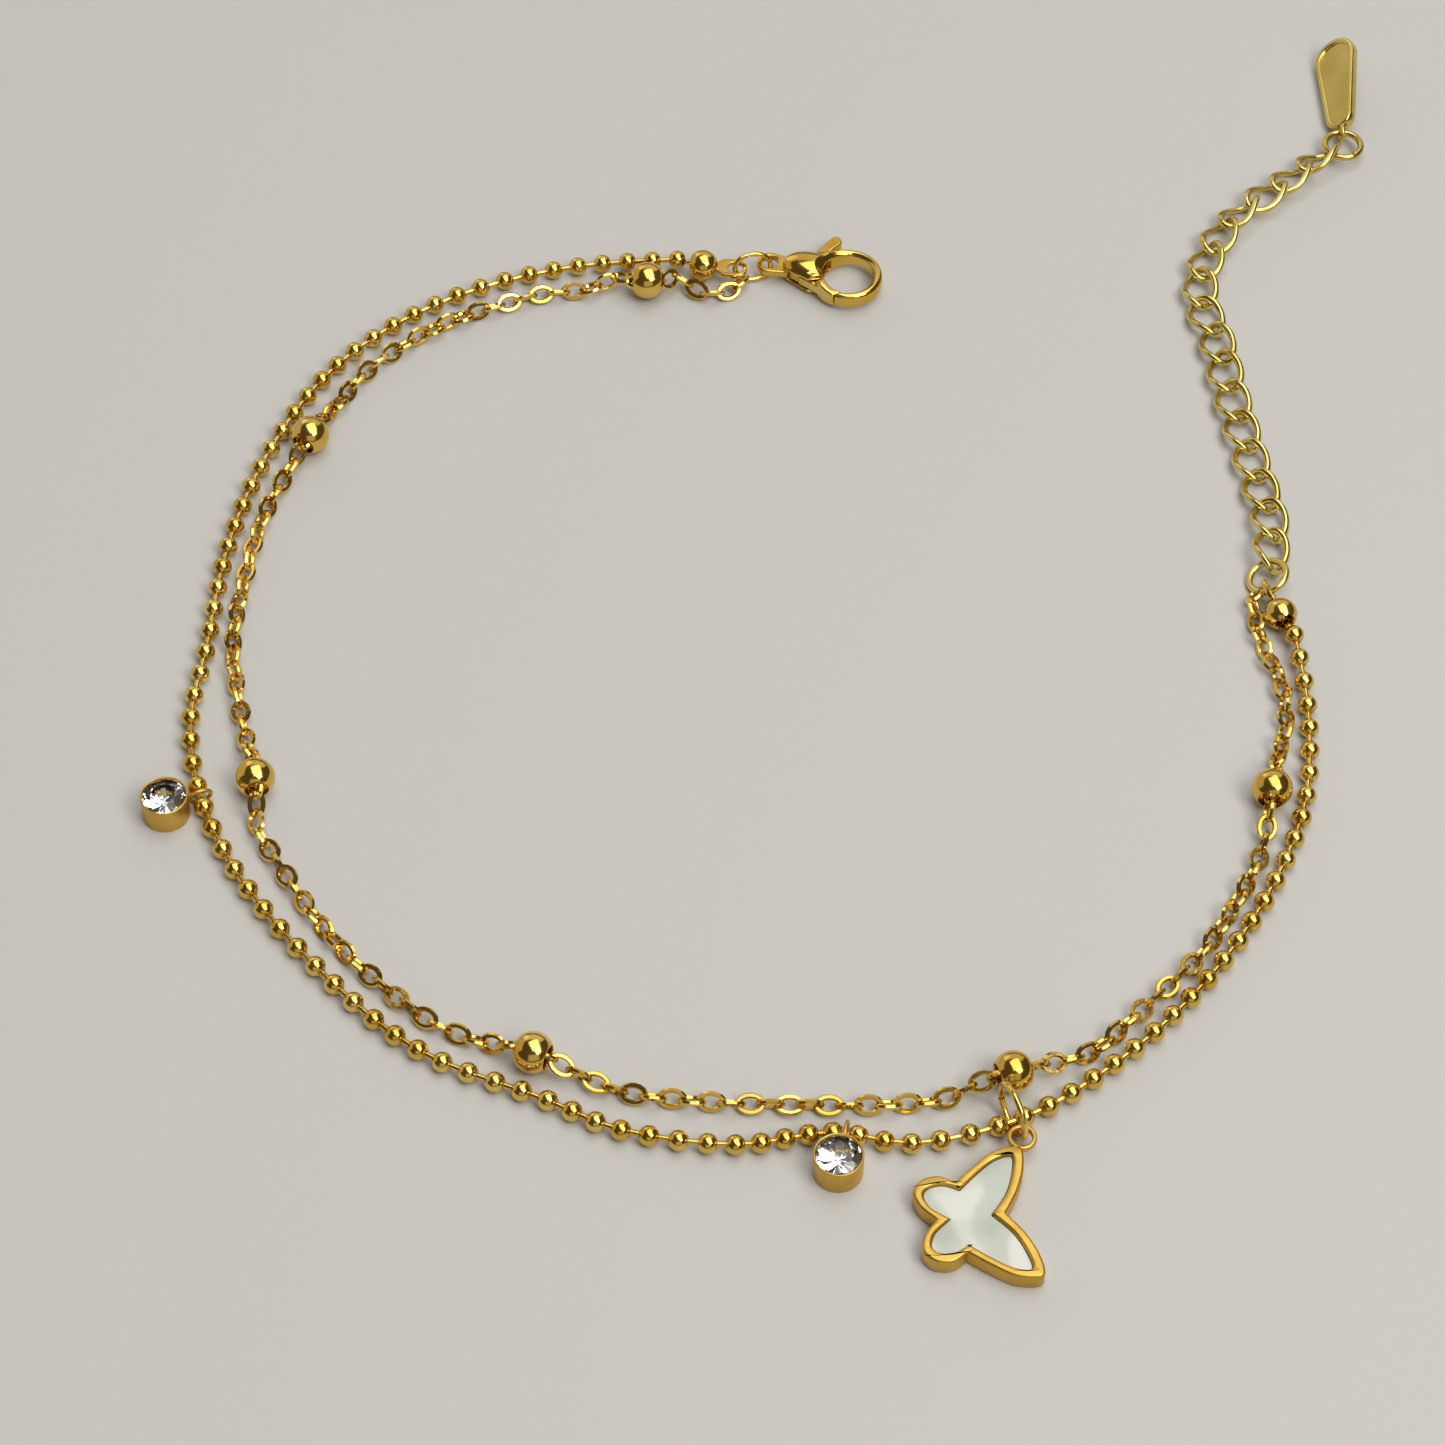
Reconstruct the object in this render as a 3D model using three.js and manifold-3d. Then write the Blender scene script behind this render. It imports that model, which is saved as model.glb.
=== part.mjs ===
// A charm anklet lying open on a table. A strand of small balls and a fine cable chain with
// station beads run side by side from a lobster clasp to an extender that ends in a plain tag.
// Two crystals in cups and a butterfly with a pearl inlay hang from the ball strand.
// Millimetres and degrees, +Z up, +X to the right and +Y away from the wearer's front.
import * as THREE from 'three';
import { mergeVertices } from 'three/addons/utils/BufferGeometryUtils.js';
import Module from 'manifold-3d';

const wasm = await Module();
wasm.setup();

// Clearances
const GAP = 0.25;
const LINK_PLAY = 0.25;
const INLAY_PLAY = 0.12;
const WELD = 1e-4;

// Ball strand: one row for each settled ball, numbered from the clasp end
const BALL = { diameter: 1.5, pin: 0.44, last: 100, sides: 10, latitudes: [-74, -25, 25, 74], bulge: 1.05 };
const BALL_ROUTE = [
  // ball, x, y
  [0, -1.6, 46.5],
  [1, -3.7, 47.2],
  [6, -13.8, 46.4],
  [11, -23.3, 42.5],
  [16, -30.8, 35.8],
  [21, -35.5, 26.8],
  [26, -38.1, 16.7],
  [31, -39.0, 6.2],
  [34, -39.6, -0.1],
  [37, -38.6, -6.5],
  [41, -35.3, -14.1],
  [46, -28.9, -22.6],
  [51, -21.3, -29.7],
  [56, -12.1, -33.9],
  [59, -7.0, -36.3],
  [63, 0.9, -37.5],
  [67, 7.6, -36.5],
  [70, 13.0, -37.4],
  [73, 19.0, -36.0],
  [76, 24.2, -33.3],
  [81, 31.7, -26.8],
  [86, 37.9, -18.7],
  [91, 42.3, -9.4],
  [95, 43.6, -1.1],
  [99, 43.2, 7.5],
  [100, 42.35, 9.5],
];

// Cable chain: the runs between the station beads, as x, y rows from the clasp end
const CABLE = { diameter: 1.1, sides: 8, steps: 66, restHeight: 0.7, lead: 1.5, settle: 4.5 };
const BEAD = { diameter: 3, hole: 1.7, sides: 12, arcSteps: 6 };
const BEADS = [
  // x, y
  [-6.1, 44.5],
  [-32.4, 27.6],
  [-34.3, -6.3],
  [-13.2, -30.4],
  [20.2, -32.0],
  [40.25, -7.3],
];
const CABLE_RUNS = [
  [[0.6, 44.2], [-1.4, 43.9], [-3.7, 45.1]],
  [[-8.6, 45.0], [-11.3, 44.2], [-14.2, 43.9], [-17.7, 42.7], [-21.8, 40.8], [-25.1, 38.5],
    [-28.3, 35.4], [-30.6, 31.5]],
  [[-33.6, 25.0], [-35.3, 20.9], [-36.1, 17.2], [-36.6, 13.4], [-37.0, 8.9], [-36.8, 5.0], [-35.4, -1.9]],
  [[-33.9, -10.3], [-31.9, -13.9], [-29.3, -18.1], [-25.7, -22.6], [-20.7, -27.1], [-17.1, -28.9]],
  [[-10.4, -31.7], [-6.6, -33.2], [-1.2, -33.9], [4.7, -34.2], [10.4, -34.2], [15.0, -33.8], [17.6, -32.8]],
  [[22.9, -31.1], [25.9, -29.7], [28.5, -27.3], [31.9, -23.9], [34.7, -20.6], [38.1, -14.8], [39.4, -11.5]],
  [[41.1, -3.6], [41.9, -0.7], [41.9, 3.1], [41.2, 5.6], [40.6, 8.3], [40.45, 11.5]],
];

// Cups that hold the last balls: a hollow ball with a mouth, and a tab with an eye
const CUP = { outer: 1.25, inner: 1.05, mouth: 0.7, sides: 10, arcSteps: 4 };
const TAB = { reach: 2.7, root: 1.08, halfWidth: 0.9, eyeOuter: 0.95, eyeHole: 0.62, thickness: 0.4 };
const CUP_ROLL = { clasp: 0, extender: 60 };

// Rings of bent wire
const WIRE_SIDES = 5;
const LOOP_STEPS = 12;
const CLASP_RING = { halfLength: 1.5, halfWidth: 1.05, wire: 0.42, roll: 60 };
const EXTENDER_RING = { x: 41.72, y: 13.45, z: 0.95, radius: 1.475, wire: 0.55, tilt: -26 };
const TAG_RING = { radius: 1.5, wire: 0.55, z: 1.05 };

// Extender: twisted curb links along a route, each rolled as it lies
const LINK = { halfLength: 2.02, halfWidth: 1.28, wire: 0.43, twist: -45, pitch: 3.16 };
const EXTENDER_ROUTE = [
  // x, y
  [42.2, 16.1],
  [42.4, 19.2],
  [41.4, 25.9],
  [40.3, 33.1],
  [39.6, 39.1],
  [38.9, 42.3],
  [39.1, 46.0],
  [41.6, 51.3],
  [45.6, 55.3],
  [50.3, 59.4],
  [55.0, 62.4],
];
const LINK_ROLLS = [18, 8, 0, 0, 2, -6, -14, -8, 0, -8, -14, -14, -32, -12, -23, -36];

// Tag: a rimmed plate that widens away from its eye and leans on one long edge
const TAG = { length: 10, near: 2.5, far: 3.8, thickness: 0.9, rim: 0.45, recess: 0.2, lean: -40, pitch: -3.5 };
const TAG_EYE = { radius: 0.65, wire: 0.4, overlap: 0.12 };
const TAG_HEADING = 88;

// Lobster clasp, in its own plane with the eye at the origin and the bow ahead along +X
const CLASP = { x: 3.87, y: 46.78, heading: -16.5, thickness: 2.1, bevel: 0.25, arcSteps: 7 };
const EYE = { outer: 1.12, hole: 0.7, thickness: 0.62, length: 1.25 };
const BOW = { x: 6.55, y: 0.25, outer: 2.8, inner: 2.1 };
const DOME = { height: 0.3, bevel: 0.25, x0: 1.9, y0: 0.1, r0: 0.7, x1: 3.6, y1: 0.4, r1: 1.45, clear: 0.3 };
const SLOT = { height: 1.5, wall: 1.7, rootAngle: 108 };
const SEAM = { x: 5.2, y: -3.3, angle: 42, length: 2.4 };
const LEVER = { thickness: 1.1, pinX: 3, pinY: 0.2, pin: 0.4, boss: 1, arm: 0.75, gateHeight: 1.8 };
const GATE = { start: 218, end: 285, bodyCut: 211 };
const NUB = { x: 4.55, y: 3.75, width: 1 };

// Crystal charms: a cup with a soldered ring round the strand between two balls
const CRYSTAL_CUP = { outer: 1.75, inner: 1.53, height: 2.2, floor: 0.45, sides: 16, offset: 2.65, rim: 0.08 };
const CRYSTAL_EYE = { radius: 0.82, wire: 0.36, z: 1.02 };
const CRYSTAL = { girdle: 1.4, table: 0.85, culet: 0.7, girdleLow: 1.85, girdleHigh: 1.95, top: 2.3, sides: 16 };
const CRYSTALS = [
  // place between balls, heading from the strand
  [37.5, -158],
  [67.5, -102],
];

// Butterfly charm: one wing pair in the plane of the charm, mirrored across its body line
const BUTTERFLY = { thickness: 1.5, floor: 0.6, inlayLow: 0.72, inlayTop: 1.25, heading: 6.5, splineSteps: 2 };
const FOREWING = [
  // rim x, rim y, inlay x, inlay y
  [2.4, 0, 1.45, 0],
  [3.5, 1.7, 2.7, 1.6],
  [4.2, 3.6, 3.4, 3.4],
  [4.15, 5.1, 3.45, 4.5],
  [2.4, 5.0, 2.2, 4.25],
  [0.7, 3.9, 0.9, 3.35],
  [-0.65, 2.8, -0.45, 2.2],
];
const HINDWING = [
  [-0.65, 2.8, -0.45, 2.2],
  [-1.75, 3.4, -1.55, 2.7],
  [-2.95, 3.2, -2.6, 2.55],
  [-3.65, 2.3, -3.0, 1.95],
  [-3.35, 1.1, -2.6, 0.95],
  [-2.4, 0, -1.45, 0],
];
const BUTTERFLY_EYE = { x: 4.45, y: 5.9, outer: 1.02, hole: 0.7, low: 0.9, high: 1.4, steps: 7 };
const BUTTERFLY_RING = { between: 73.5, radius: 1.95, wire: 0.4, z: 2.16, shift: 0.05, eyeReach: 1.69 };

// Finishes
const finish = (color, roughness, metalness) => new THREE.MeshStandardMaterial({ color, roughness, metalness });
const GOLD = finish(0xd9a93c, 0.18, 1);
const PALE_GOLD = finish(0xd8bb62, 0.22, 1);
const SATIN_GOLD = finish(0xcfa14c, 0.42, 1);
const CLEAR_STONE = finish(0xeef2f4, 0.05, 0);
const PEARL = finish(0xeef0e6, 0.3, 0);

const UP = new THREE.Vector3(0, 0, 1);
const rad = THREE.MathUtils.degToRad;
const polar = (degrees, radius = 1) => [radius * Math.cos(rad(degrees)), radius * Math.sin(rad(degrees))];

const layout = new THREE.Group();

function add(name, geometry, material) {
  const mesh = new THREE.Mesh(geometry, material);
  mesh.name = name;
  layout.add(mesh);
  return mesh;
}

// Sets a mesh at a point with its own +X along a direction, then rolls it about that direction
function lay(mesh, point, direction, roll = 0) {
  const ahead = direction.clone().normalize();
  const left = new THREE.Vector3().crossVectors(UP, ahead).normalize();
  const above = new THREE.Vector3().crossVectors(ahead, left);
  mesh.quaternion.setFromRotationMatrix(new THREE.Matrix4().makeBasis(ahead, left, above));
  mesh.rotateX(rad(roll));
  mesh.position.copy(point);
  return mesh;
}

const heading = (degrees) => new THREE.Vector3(...polar(degrees), 0);

// Joining and cutting closed geometries
function solidOf(geometry) {
  const bare = new THREE.BufferGeometry();
  bare.setAttribute('position', geometry.getAttribute('position'));
  bare.setIndex(geometry.getIndex());
  const welded = mergeVertices(bare, WELD);
  const vertProperties = new Float32Array(welded.getAttribute('position').array);
  const triVerts = new Uint32Array(welded.getIndex().array);
  return new wasm.Manifold(new wasm.Mesh({ numProp: 3, vertProperties, triVerts }));
}

function geometryOf(solid) {
  const mesh = solid.getMesh();
  const geometry = new THREE.BufferGeometry();
  geometry.setAttribute('position', new THREE.BufferAttribute(mesh.vertProperties, 3));
  geometry.setIndex(new THREE.BufferAttribute(mesh.triVerts, 1));
  return geometry;
}

function join(...geometries) {
  return geometryOf(geometries.map(solidOf).reduce((whole, piece) => whole.add(piece)));
}

function cut(base, ...tools) {
  return geometryOf(tools.map(solidOf).reduce((rest, tool) => rest.subtract(tool), solidOf(base)));
}

// Flat shapes, extruded between two heights
function plate(shape, low, high, curveSegments = 6, bevel = 0) {
  const depth = high - low - 2 * bevel;
  const edge = { bevelEnabled: bevel > 0, bevelThickness: bevel, bevelSize: bevel, bevelOffset: -bevel };
  const geometry = new THREE.ExtrudeGeometry(shape, { depth, curveSegments, bevelSegments: 1, ...edge });
  return geometry.translate(0, 0, low + bevel);
}

function disc(x, y, radius) {
  return new THREE.Shape().absarc(x, y, radius, 0, 2 * Math.PI);
}

function polygon(points) {
  return new THREE.Shape(points.map(([x, y]) => new THREE.Vector2(x, y)));
}

// The outline round two circles and their outer tangents
function teardrop(x0, y0, r0, x1, y1, r1) {
  const axis = Math.atan2(y1 - y0, x1 - x0);
  const back = Math.PI / 2 + Math.asin((r1 - r0) / Math.hypot(x1 - x0, y1 - y0));
  const shape = new THREE.Shape();
  shape.absarc(x1, y1, r1, axis - back, axis + back);
  shape.absarc(x0, y0, r0, axis + back, axis + 2 * Math.PI - back);
  return shape;
}

function sector(x, y, inner, outer, from, to) {
  const shape = new THREE.Shape();
  shape.absarc(x, y, outer, rad(from), rad(to));
  shape.absarc(x, y, inner, rad(to), rad(from), true);
  return shape;
}

// A closed loop of wire, oval, with its two ends turned about its length
class LoopCurve extends THREE.Curve {
  constructor(halfLength, halfWidth, twist) {
    super();
    Object.assign(this, { halfLength, halfWidth, twist });
  }

  getPoint(t, target = new THREE.Vector3()) {
    const ahead = Math.cos(2 * Math.PI * t);
    const across = this.halfWidth * Math.sin(2 * Math.PI * t);
    const turn = this.twist * ahead;
    return target.set(this.halfLength * ahead, across * Math.cos(turn), across * Math.sin(turn));
  }
}

function wireLoop(halfLength, halfWidth, wire, twist = 0) {
  const curve = new LoopCurve(halfLength, halfWidth, rad(twist));
  return new THREE.TubeGeometry(curve, LOOP_STEPS, wire / 2, WIRE_SIDES, true);
}

// The ball strand's centre line as a smooth function of the ball number
class BallRoute extends THREE.Curve {
  constructor() {
    super();
    this.knots = BALL_ROUTE.map(([ball]) => ball);
    this.points = BALL_ROUTE.map(([ball, x, y]) => new THREE.Vector3(x, y, this.height(ball)));
    this.slopes = this.points.map((point, i) => this.slope(i));
  }

  // The end balls are lifted by their cups
  height(ball) {
    const fromEnd = Math.min(ball, BALL.last - ball);
    const lift = [CUP.outer - BALL.diameter / 2, 0.42];
    return BALL.diameter / 2 + (lift[fromEnd] ?? 0);
  }

  slope(i) {
    const before = Math.max(i - 1, 0);
    const after = Math.min(i + 1, this.points.length - 1);
    const span = this.knots[after] - this.knots[before];
    return this.points[after].clone().sub(this.points[before]).divideScalar(span);
  }

  at(ball) {
    const i = Math.min(this.knots.findLastIndex((knot) => knot <= ball), this.knots.length - 2);
    const span = this.knots[i + 1] - this.knots[i];
    const t = (ball - this.knots[i]) / span;
    const rise = t * t * (3 - 2 * t);
    const point = this.points[i].clone().multiplyScalar(1 - rise);
    point.addScaledVector(this.points[i + 1], rise);
    point.addScaledVector(this.slopes[i], span * t * (1 - t) * (1 - t));
    return point.addScaledVector(this.slopes[i + 1], span * t * t * (t - 1));
  }

  getPoint(t, target = new THREE.Vector3()) {
    return target.copy(this.at(t * BALL.last));
  }

  ahead(ball) {
    return this.getTangent(ball / BALL.last);
  }
}

const ballRoute = new BallRoute();

// The strand is turned straight on its axis, ball by ball, then laid along its route
function ballChain() {
  const radius = BALL.diameter / 2;
  const nominal = 2 * BALL.diameter;
  const profile = [];
  for (let ball = 0; ball <= BALL.last; ball++) {
    for (const latitude of BALL.latitudes) {
      const [sideways, along] = polar(latitude, radius);
      const inner = Math.abs(latitude) === Math.max(...BALL.latitudes);
      profile.push(new THREE.Vector2(inner ? BALL.pin / 2 : sideways * BALL.bulge, ball * nominal + along));
    }
  }
  profile[0].x = 0;
  profile[profile.length - 1].x = 0;
  const geometry = new THREE.LatheGeometry(profile, BALL.sides);
  const position = geometry.getAttribute('position');
  for (let i = 0; i < position.count; i++) {
    const ball = Math.round(position.getY(i) / nominal);
    const ahead = ballRoute.ahead(ball);
    const right = new THREE.Vector3().crossVectors(ahead, UP).normalize();
    const above = new THREE.Vector3().crossVectors(right, ahead);
    const point = ballRoute.at(ball);
    point.addScaledVector(right, position.getX(i));
    point.addScaledVector(ahead, position.getY(i) - ball * nominal);
    point.addScaledVector(above, position.getZ(i));
    position.setXYZ(i, point.x, point.y, point.z);
  }
  add('ball_chain', geometry, GOLD);
}

// The cable chain rests on the table and rises to pass through each bead
function cableHeight(x, y) {
  const nearest = Math.min(...BEADS.map(([beadX, beadY]) => Math.hypot(x - beadX, y - beadY)));
  const rise = 1 - THREE.MathUtils.smoothstep(nearest, CABLE.lead, CABLE.settle);
  return THREE.MathUtils.lerp(CABLE.restHeight, BEAD.diameter / 2, rise);
}

function cablePoints() {
  const points = [];
  CABLE_RUNS.forEach((run, i) => {
    points.push(...run);
    if (i === BEADS.length) return;
    const [x, y] = BEADS[i];
    const before = run[run.length - 1];
    const after = CABLE_RUNS[i + 1][0];
    const [dx, dy] = [after[0] - before[0], after[1] - before[1]];
    const step = CABLE.lead / Math.hypot(dx, dy);
    points.push([x - dx * step, y - dy * step], [x, y], [x + dx * step, y + dy * step]);
  });
  return points.map(([x, y]) => new THREE.Vector3(x, y, cableHeight(x, y)));
}

function smoothRoute(points) {
  const curve = new THREE.CatmullRomCurve3(points, false, 'catmullrom', 0.5);
  curve.arcLengthDivisions = 2000;
  return curve;
}

function cableChain() {
  const section = polygon(Array.from({ length: CABLE.sides }, (unused, i) =>
    polar(i * 360 / CABLE.sides, CABLE.diameter / 2)));
  const extrudePath = smoothRoute(cablePoints());
  add('cable_chain', new THREE.ExtrudeGeometry(section, { steps: CABLE.steps, extrudePath }), GOLD);
}

// A drilled ball turned about its hole, its hole along +Y until it is laid
function beadGeometry() {
  const radius = BEAD.diameter / 2;
  const mouth = THREE.MathUtils.radToDeg(Math.acos(BEAD.hole / BEAD.diameter));
  const profile = [];
  for (let i = 0; i <= BEAD.arcSteps; i++) {
    profile.push(new THREE.Vector2(...polar(mouth * (2 * i / BEAD.arcSteps - 1), radius)));
  }
  profile.push(profile[0].clone());
  return new THREE.LatheGeometry(profile, BEAD.sides).rotateZ(-Math.PI / 2);
}

function stationBeads() {
  BEADS.forEach(([x, y], i) => {
    const before = CABLE_RUNS[i].at(-1);
    const after = CABLE_RUNS[i + 1][0];
    const ahead = new THREE.Vector3(after[0] - before[0], after[1] - before[1], 0);
    const centre = new THREE.Vector3(x, y, BEAD.diameter / 2);
    lay(add(`station_bead_${i + 1}`, beadGeometry(), GOLD), centre, ahead);
  });
}

// A hollow cup round the end ball, with its mouth behind and a flat tab with an eye ahead
function endCupGeometry(roll) {
  const mouthOuter = THREE.MathUtils.radToDeg(Math.asin(CUP.mouth / CUP.outer));
  const mouthInner = THREE.MathUtils.radToDeg(Math.asin(CUP.mouth / CUP.inner));
  const wall = (radius, latitude) => new THREE.Vector2(...polar(latitude, radius));
  const profile = [];
  for (let i = 0; i <= CUP.arcSteps; i++) {
    profile.push(wall(CUP.outer, THREE.MathUtils.lerp(mouthOuter - 90, 90, i / CUP.arcSteps)));
  }
  for (let i = CUP.arcSteps; i >= 0; i--) {
    profile.push(wall(CUP.inner, THREE.MathUtils.lerp(mouthInner - 90, 90, i / CUP.arcSteps)));
  }
  profile[CUP.arcSteps].x = 0;
  profile[CUP.arcSteps + 1].x = 0;
  const turned = [...profile.slice(CUP.arcSteps + 1), ...profile.slice(0, CUP.arcSteps + 1)];
  const shell = new THREE.LatheGeometry(turned, CUP.sides).rotateZ(-Math.PI / 2);
  const outline = teardrop(TAB.reach, 0, TAB.eyeOuter, TAB.root + TAB.halfWidth, 0, TAB.halfWidth);
  const half = TAB.thickness / 2;
  const tab = cut(plate(outline, -half, half, 4), plate(disc(TAB.reach, 0, TAB.eyeHole), -1, 1, 5));
  return join(shell, tab.rotateX(rad(roll)));
}

function endCups() {
  const first = ballRoute.at(0);
  const last = ballRoute.at(BALL.last);
  const claspEnd = new THREE.Vector3(first.x + TAB.reach, first.y - 0.45, first.z);
  const extenderEnd = new THREE.Vector3(EXTENDER_RING.x, EXTENDER_RING.y - EXTENDER_RING.radius, EXTENDER_RING.z);
  const cup1 = add('ball_end_cup_1', endCupGeometry(CUP_ROLL.clasp), GOLD);
  lay(cup1, first, claspEnd.sub(first));
  const cup2 = add('ball_end_cup_2', endCupGeometry(CUP_ROLL.extender), GOLD);
  lay(cup2, last, extenderEnd.sub(last));
  cup1.updateMatrixWorld();
  return cup1.localToWorld(new THREE.Vector3(TAB.reach, 0, 0));
}

// Rings: the oval one at the clasp and the round ones at the extender and the tag
function claspRing(tabEye) {
  const geometry = wireLoop(CLASP_RING.halfLength, CLASP_RING.halfWidth, CLASP_RING.wire);
  const eye = new THREE.Vector3(CLASP.x, CLASP.y, CLASP.thickness / 2);
  const middle = tabEye.clone().lerp(eye, 0.5);
  lay(add('clasp_ring', geometry, GOLD), middle, eye.sub(tabEye), CLASP_RING.roll);
}

function extenderRing() {
  const { x, y, z, radius, wire, tilt } = EXTENDER_RING;
  const mesh = add('extender_ring', wireLoop(radius, radius, wire), PALE_GOLD);
  lay(mesh, new THREE.Vector3(x, y, z), heading(90), tilt);
}

function extender() {
  const points = EXTENDER_ROUTE.map(([x, y]) => new THREE.Vector3(x, y, 0));
  const curve = smoothRoute(points);
  const length = curve.getLength();
  const links = LINK_ROLLS.map((roll, i) => {
    const place = i * LINK.pitch / length;
    const geometry = wireLoop(LINK.halfLength, LINK.halfWidth, LINK.wire, LINK.twist);
    const link = add(`extender_link_${String(i + 1).padStart(2, '0')}`, geometry, PALE_GOLD);
    return lay(link, curve.getPointAt(place), curve.getTangentAt(place), roll);
  });
  const rests = links.map((link) => -new THREE.Box3().setFromObject(link, true).min.z);
  links.forEach((link, i) => {
    const held = ((rests[i - 1] ?? 0) + (rests[i + 1] ?? 0)) / 2;
    link.position.z = Math.max(rests[i], held);
  });
  const last = (links.length - 1) * LINK.pitch / length;
  const seat = (LINK.wire + TAG_RING.wire) / 2 + LINK_PLAY;
  const reach = LINK.halfLength - seat + TAG_RING.radius;
  const ringCentre = curve.getPointAt(last).addScaledVector(curve.getTangentAt(last), reach).setZ(TAG_RING.z);
  const ring = add('tag_ring', wireLoop(TAG_RING.radius, TAG_RING.radius, TAG_RING.wire), PALE_GOLD);
  ring.position.copy(ringCentre);
  return ringCentre;
}

// The tag's plate leans on one long edge, behind an upright eye that hangs in the tag ring
function tag(ringCentre) {
  const { length, near, far, thickness, rim, recess } = TAG;
  const start = TAG_EYE.radius - TAG_EYE.overlap;
  const outline = (inset) => teardrop(
    start + near / 2, 0, near / 2 - inset,
    start + length - far / 2, 0, far / 2 - inset,
  );
  const half = thickness / 2;
  const blank = plate(outline(0), -half, half, 4);
  const front = plate(outline(rim), half - recess, half + recess, 4);
  const back = plate(outline(rim), -half - recess, recess - half, 4);
  const leaned = cut(blank, front, back).rotateX(rad(TAG.lean)).rotateY(rad(TAG.pitch));
  const eye = wireLoop(TAG_EYE.radius, TAG_EYE.radius, TAG_EYE.wire).rotateX(Math.PI / 2);
  const seat = (TAG_EYE.wire + TAG_RING.wire) / 2 + LINK_PLAY;
  const ahead = heading(TAG_HEADING);
  const centre = ringCentre.clone().addScaledVector(ahead, TAG_RING.radius + TAG_EYE.radius - seat);
  lay(add('tag', join(leaned, eye), PALE_GOLD), centre, ahead);
}

// The seam between the clasp's nose and its gate, as a point along its slanted line
const seamPoint = (along, shift = 0) => [
  SEAM.x + along * Math.cos(rad(SEAM.angle)) - shift,
  SEAM.y + along * Math.sin(rad(SEAM.angle)),
];

function claspBody() {
  const half = CLASP.thickness / 2;
  const reach = 5;
  const drop = teardrop(0, 0, EYE.outer, BOW.x, BOW.y, BOW.outer);
  const blank = plate(drop, -half, half, CLASP.arcSteps, CLASP.bevel);
  const domeOutline = teardrop(DOME.x0, DOME.y0, DOME.r0, DOME.x1, DOME.y1, DOME.r1);
  const dome = plate(domeOutline, half - DOME.bevel, half + DOME.height, 5, DOME.bevel);
  const domeTrim = plate(disc(BOW.x, BOW.y, BOW.inner + DOME.clear), half, half + 1, 9);
  const eyeBlock = polygon([[-2, -2], [EYE.length, -2], [EYE.length, 2], [-2, 2]]);
  const [rootIn, rootOut] = [polar(SLOT.rootAngle, 1.2), polar(SLOT.rootAngle, reach)];
  const slot = polygon([
    [SLOT.wall, -reach],
    seamPoint(-2.5),
    seamPoint(SEAM.length),
    [BOW.x + rootIn[0], BOW.y + rootIn[1]],
    [BOW.x + rootOut[0], BOW.y + rootOut[1]],
    [SLOT.wall, reach],
  ]);
  const [cutIn, cutOut] = [polar(GATE.bodyCut, 1.2), polar(GATE.bodyCut, reach)];
  const gateway = polygon([
    [BOW.x + cutIn[0], BOW.y + cutIn[1]],
    [BOW.x + cutOut[0], BOW.y + cutOut[1]],
    seamPoint(-2.5),
    seamPoint(SEAM.length),
  ]);
  const opened = cut(
    join(blank, cut(dome, domeTrim)),
    plate(disc(BOW.x, BOW.y, BOW.inner), -2, 2, 9),
    plate(disc(0, 0, EYE.hole), -2, 2, 5),
    plate(eyeBlock, EYE.thickness / 2, 2),
    plate(eyeBlock, -2, -EYE.thickness / 2),
    plate(slot, -SLOT.height / 2, SLOT.height / 2),
    plate(gateway, -2, 2),
  );
  const pin = plate(disc(LEVER.pinX, LEVER.pinY, LEVER.pin), -half + 0.1, half - 0.1, 4);
  return join(opened, pin);
}

function claspLever() {
  const half = LEVER.thickness / 2;
  const arm = (x, y, radius) => teardrop(LEVER.pinX, LEVER.pinY, LEVER.arm / 2, x, y, radius);
  const middle = (BOW.outer + BOW.inner) / 2;
  const [gateX, gateY] = polar(GATE.start + 6, middle);
  const nose = polygon([seamPoint(-2.5, GAP), seamPoint(4, GAP), [9, -3], [7, -6]]);
  const gateHalf = LEVER.gateHeight / 2;
  const gate = plate(sector(BOW.x, BOW.y, BOW.inner, BOW.outer, GATE.start, GATE.end), -gateHalf, gateHalf, 4);
  const whole = join(
    plate(disc(LEVER.pinX, LEVER.pinY, LEVER.boss), -half, half, 6),
    plate(arm(BOW.x + gateX, BOW.y + gateY, LEVER.arm / 2), -half, half, 3),
    plate(arm(NUB.x, NUB.y, NUB.width / 2), -half, half, 4),
    cut(gate, plate(nose, -2, 2)),
  );
  return cut(whole, plate(disc(LEVER.pinX, LEVER.pinY, LEVER.pin + GAP), -2, 2, 4));
}

function clasp() {
  const centre = new THREE.Vector3(CLASP.x, CLASP.y, CLASP.thickness / 2);
  lay(add('clasp_body', claspBody(), GOLD), centre, heading(CLASP.heading));
  lay(add('clasp_lever', claspLever(), GOLD), centre, heading(CLASP.heading));
}

// A crystal cup's own frame has +X from the strand to the cup's axis
function crystalCupGeometry() {
  const { outer, inner, height, floor, sides, offset, rim } = CRYSTAL_CUP;
  const profile = [
    [0, 0], [outer - rim, 0], [outer, rim], [outer, height - rim], [outer - rim, height],
    [inner, height], [inner, floor], [0, floor],
  ];
  const points = profile.map(([radius, z]) => new THREE.Vector2(radius, z));
  const cup = new THREE.LatheGeometry(points, sides).rotateX(Math.PI / 2).translate(offset, 0, 0);
  const eye = wireLoop(CRYSTAL_EYE.radius, CRYSTAL_EYE.radius, CRYSTAL_EYE.wire);
  eye.rotateX(Math.PI / 2).translate(0, 0, CRYSTAL_EYE.z);
  const hollow = new THREE.LatheGeometry(
    [[0, floor], [inner, floor], [inner, height + 1], [0, height + 1]].map((row) => new THREE.Vector2(...row)),
    sides,
  ).rotateX(Math.PI / 2).translate(offset, 0, 0);
  return join(cup, cut(eye, hollow));
}

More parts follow.
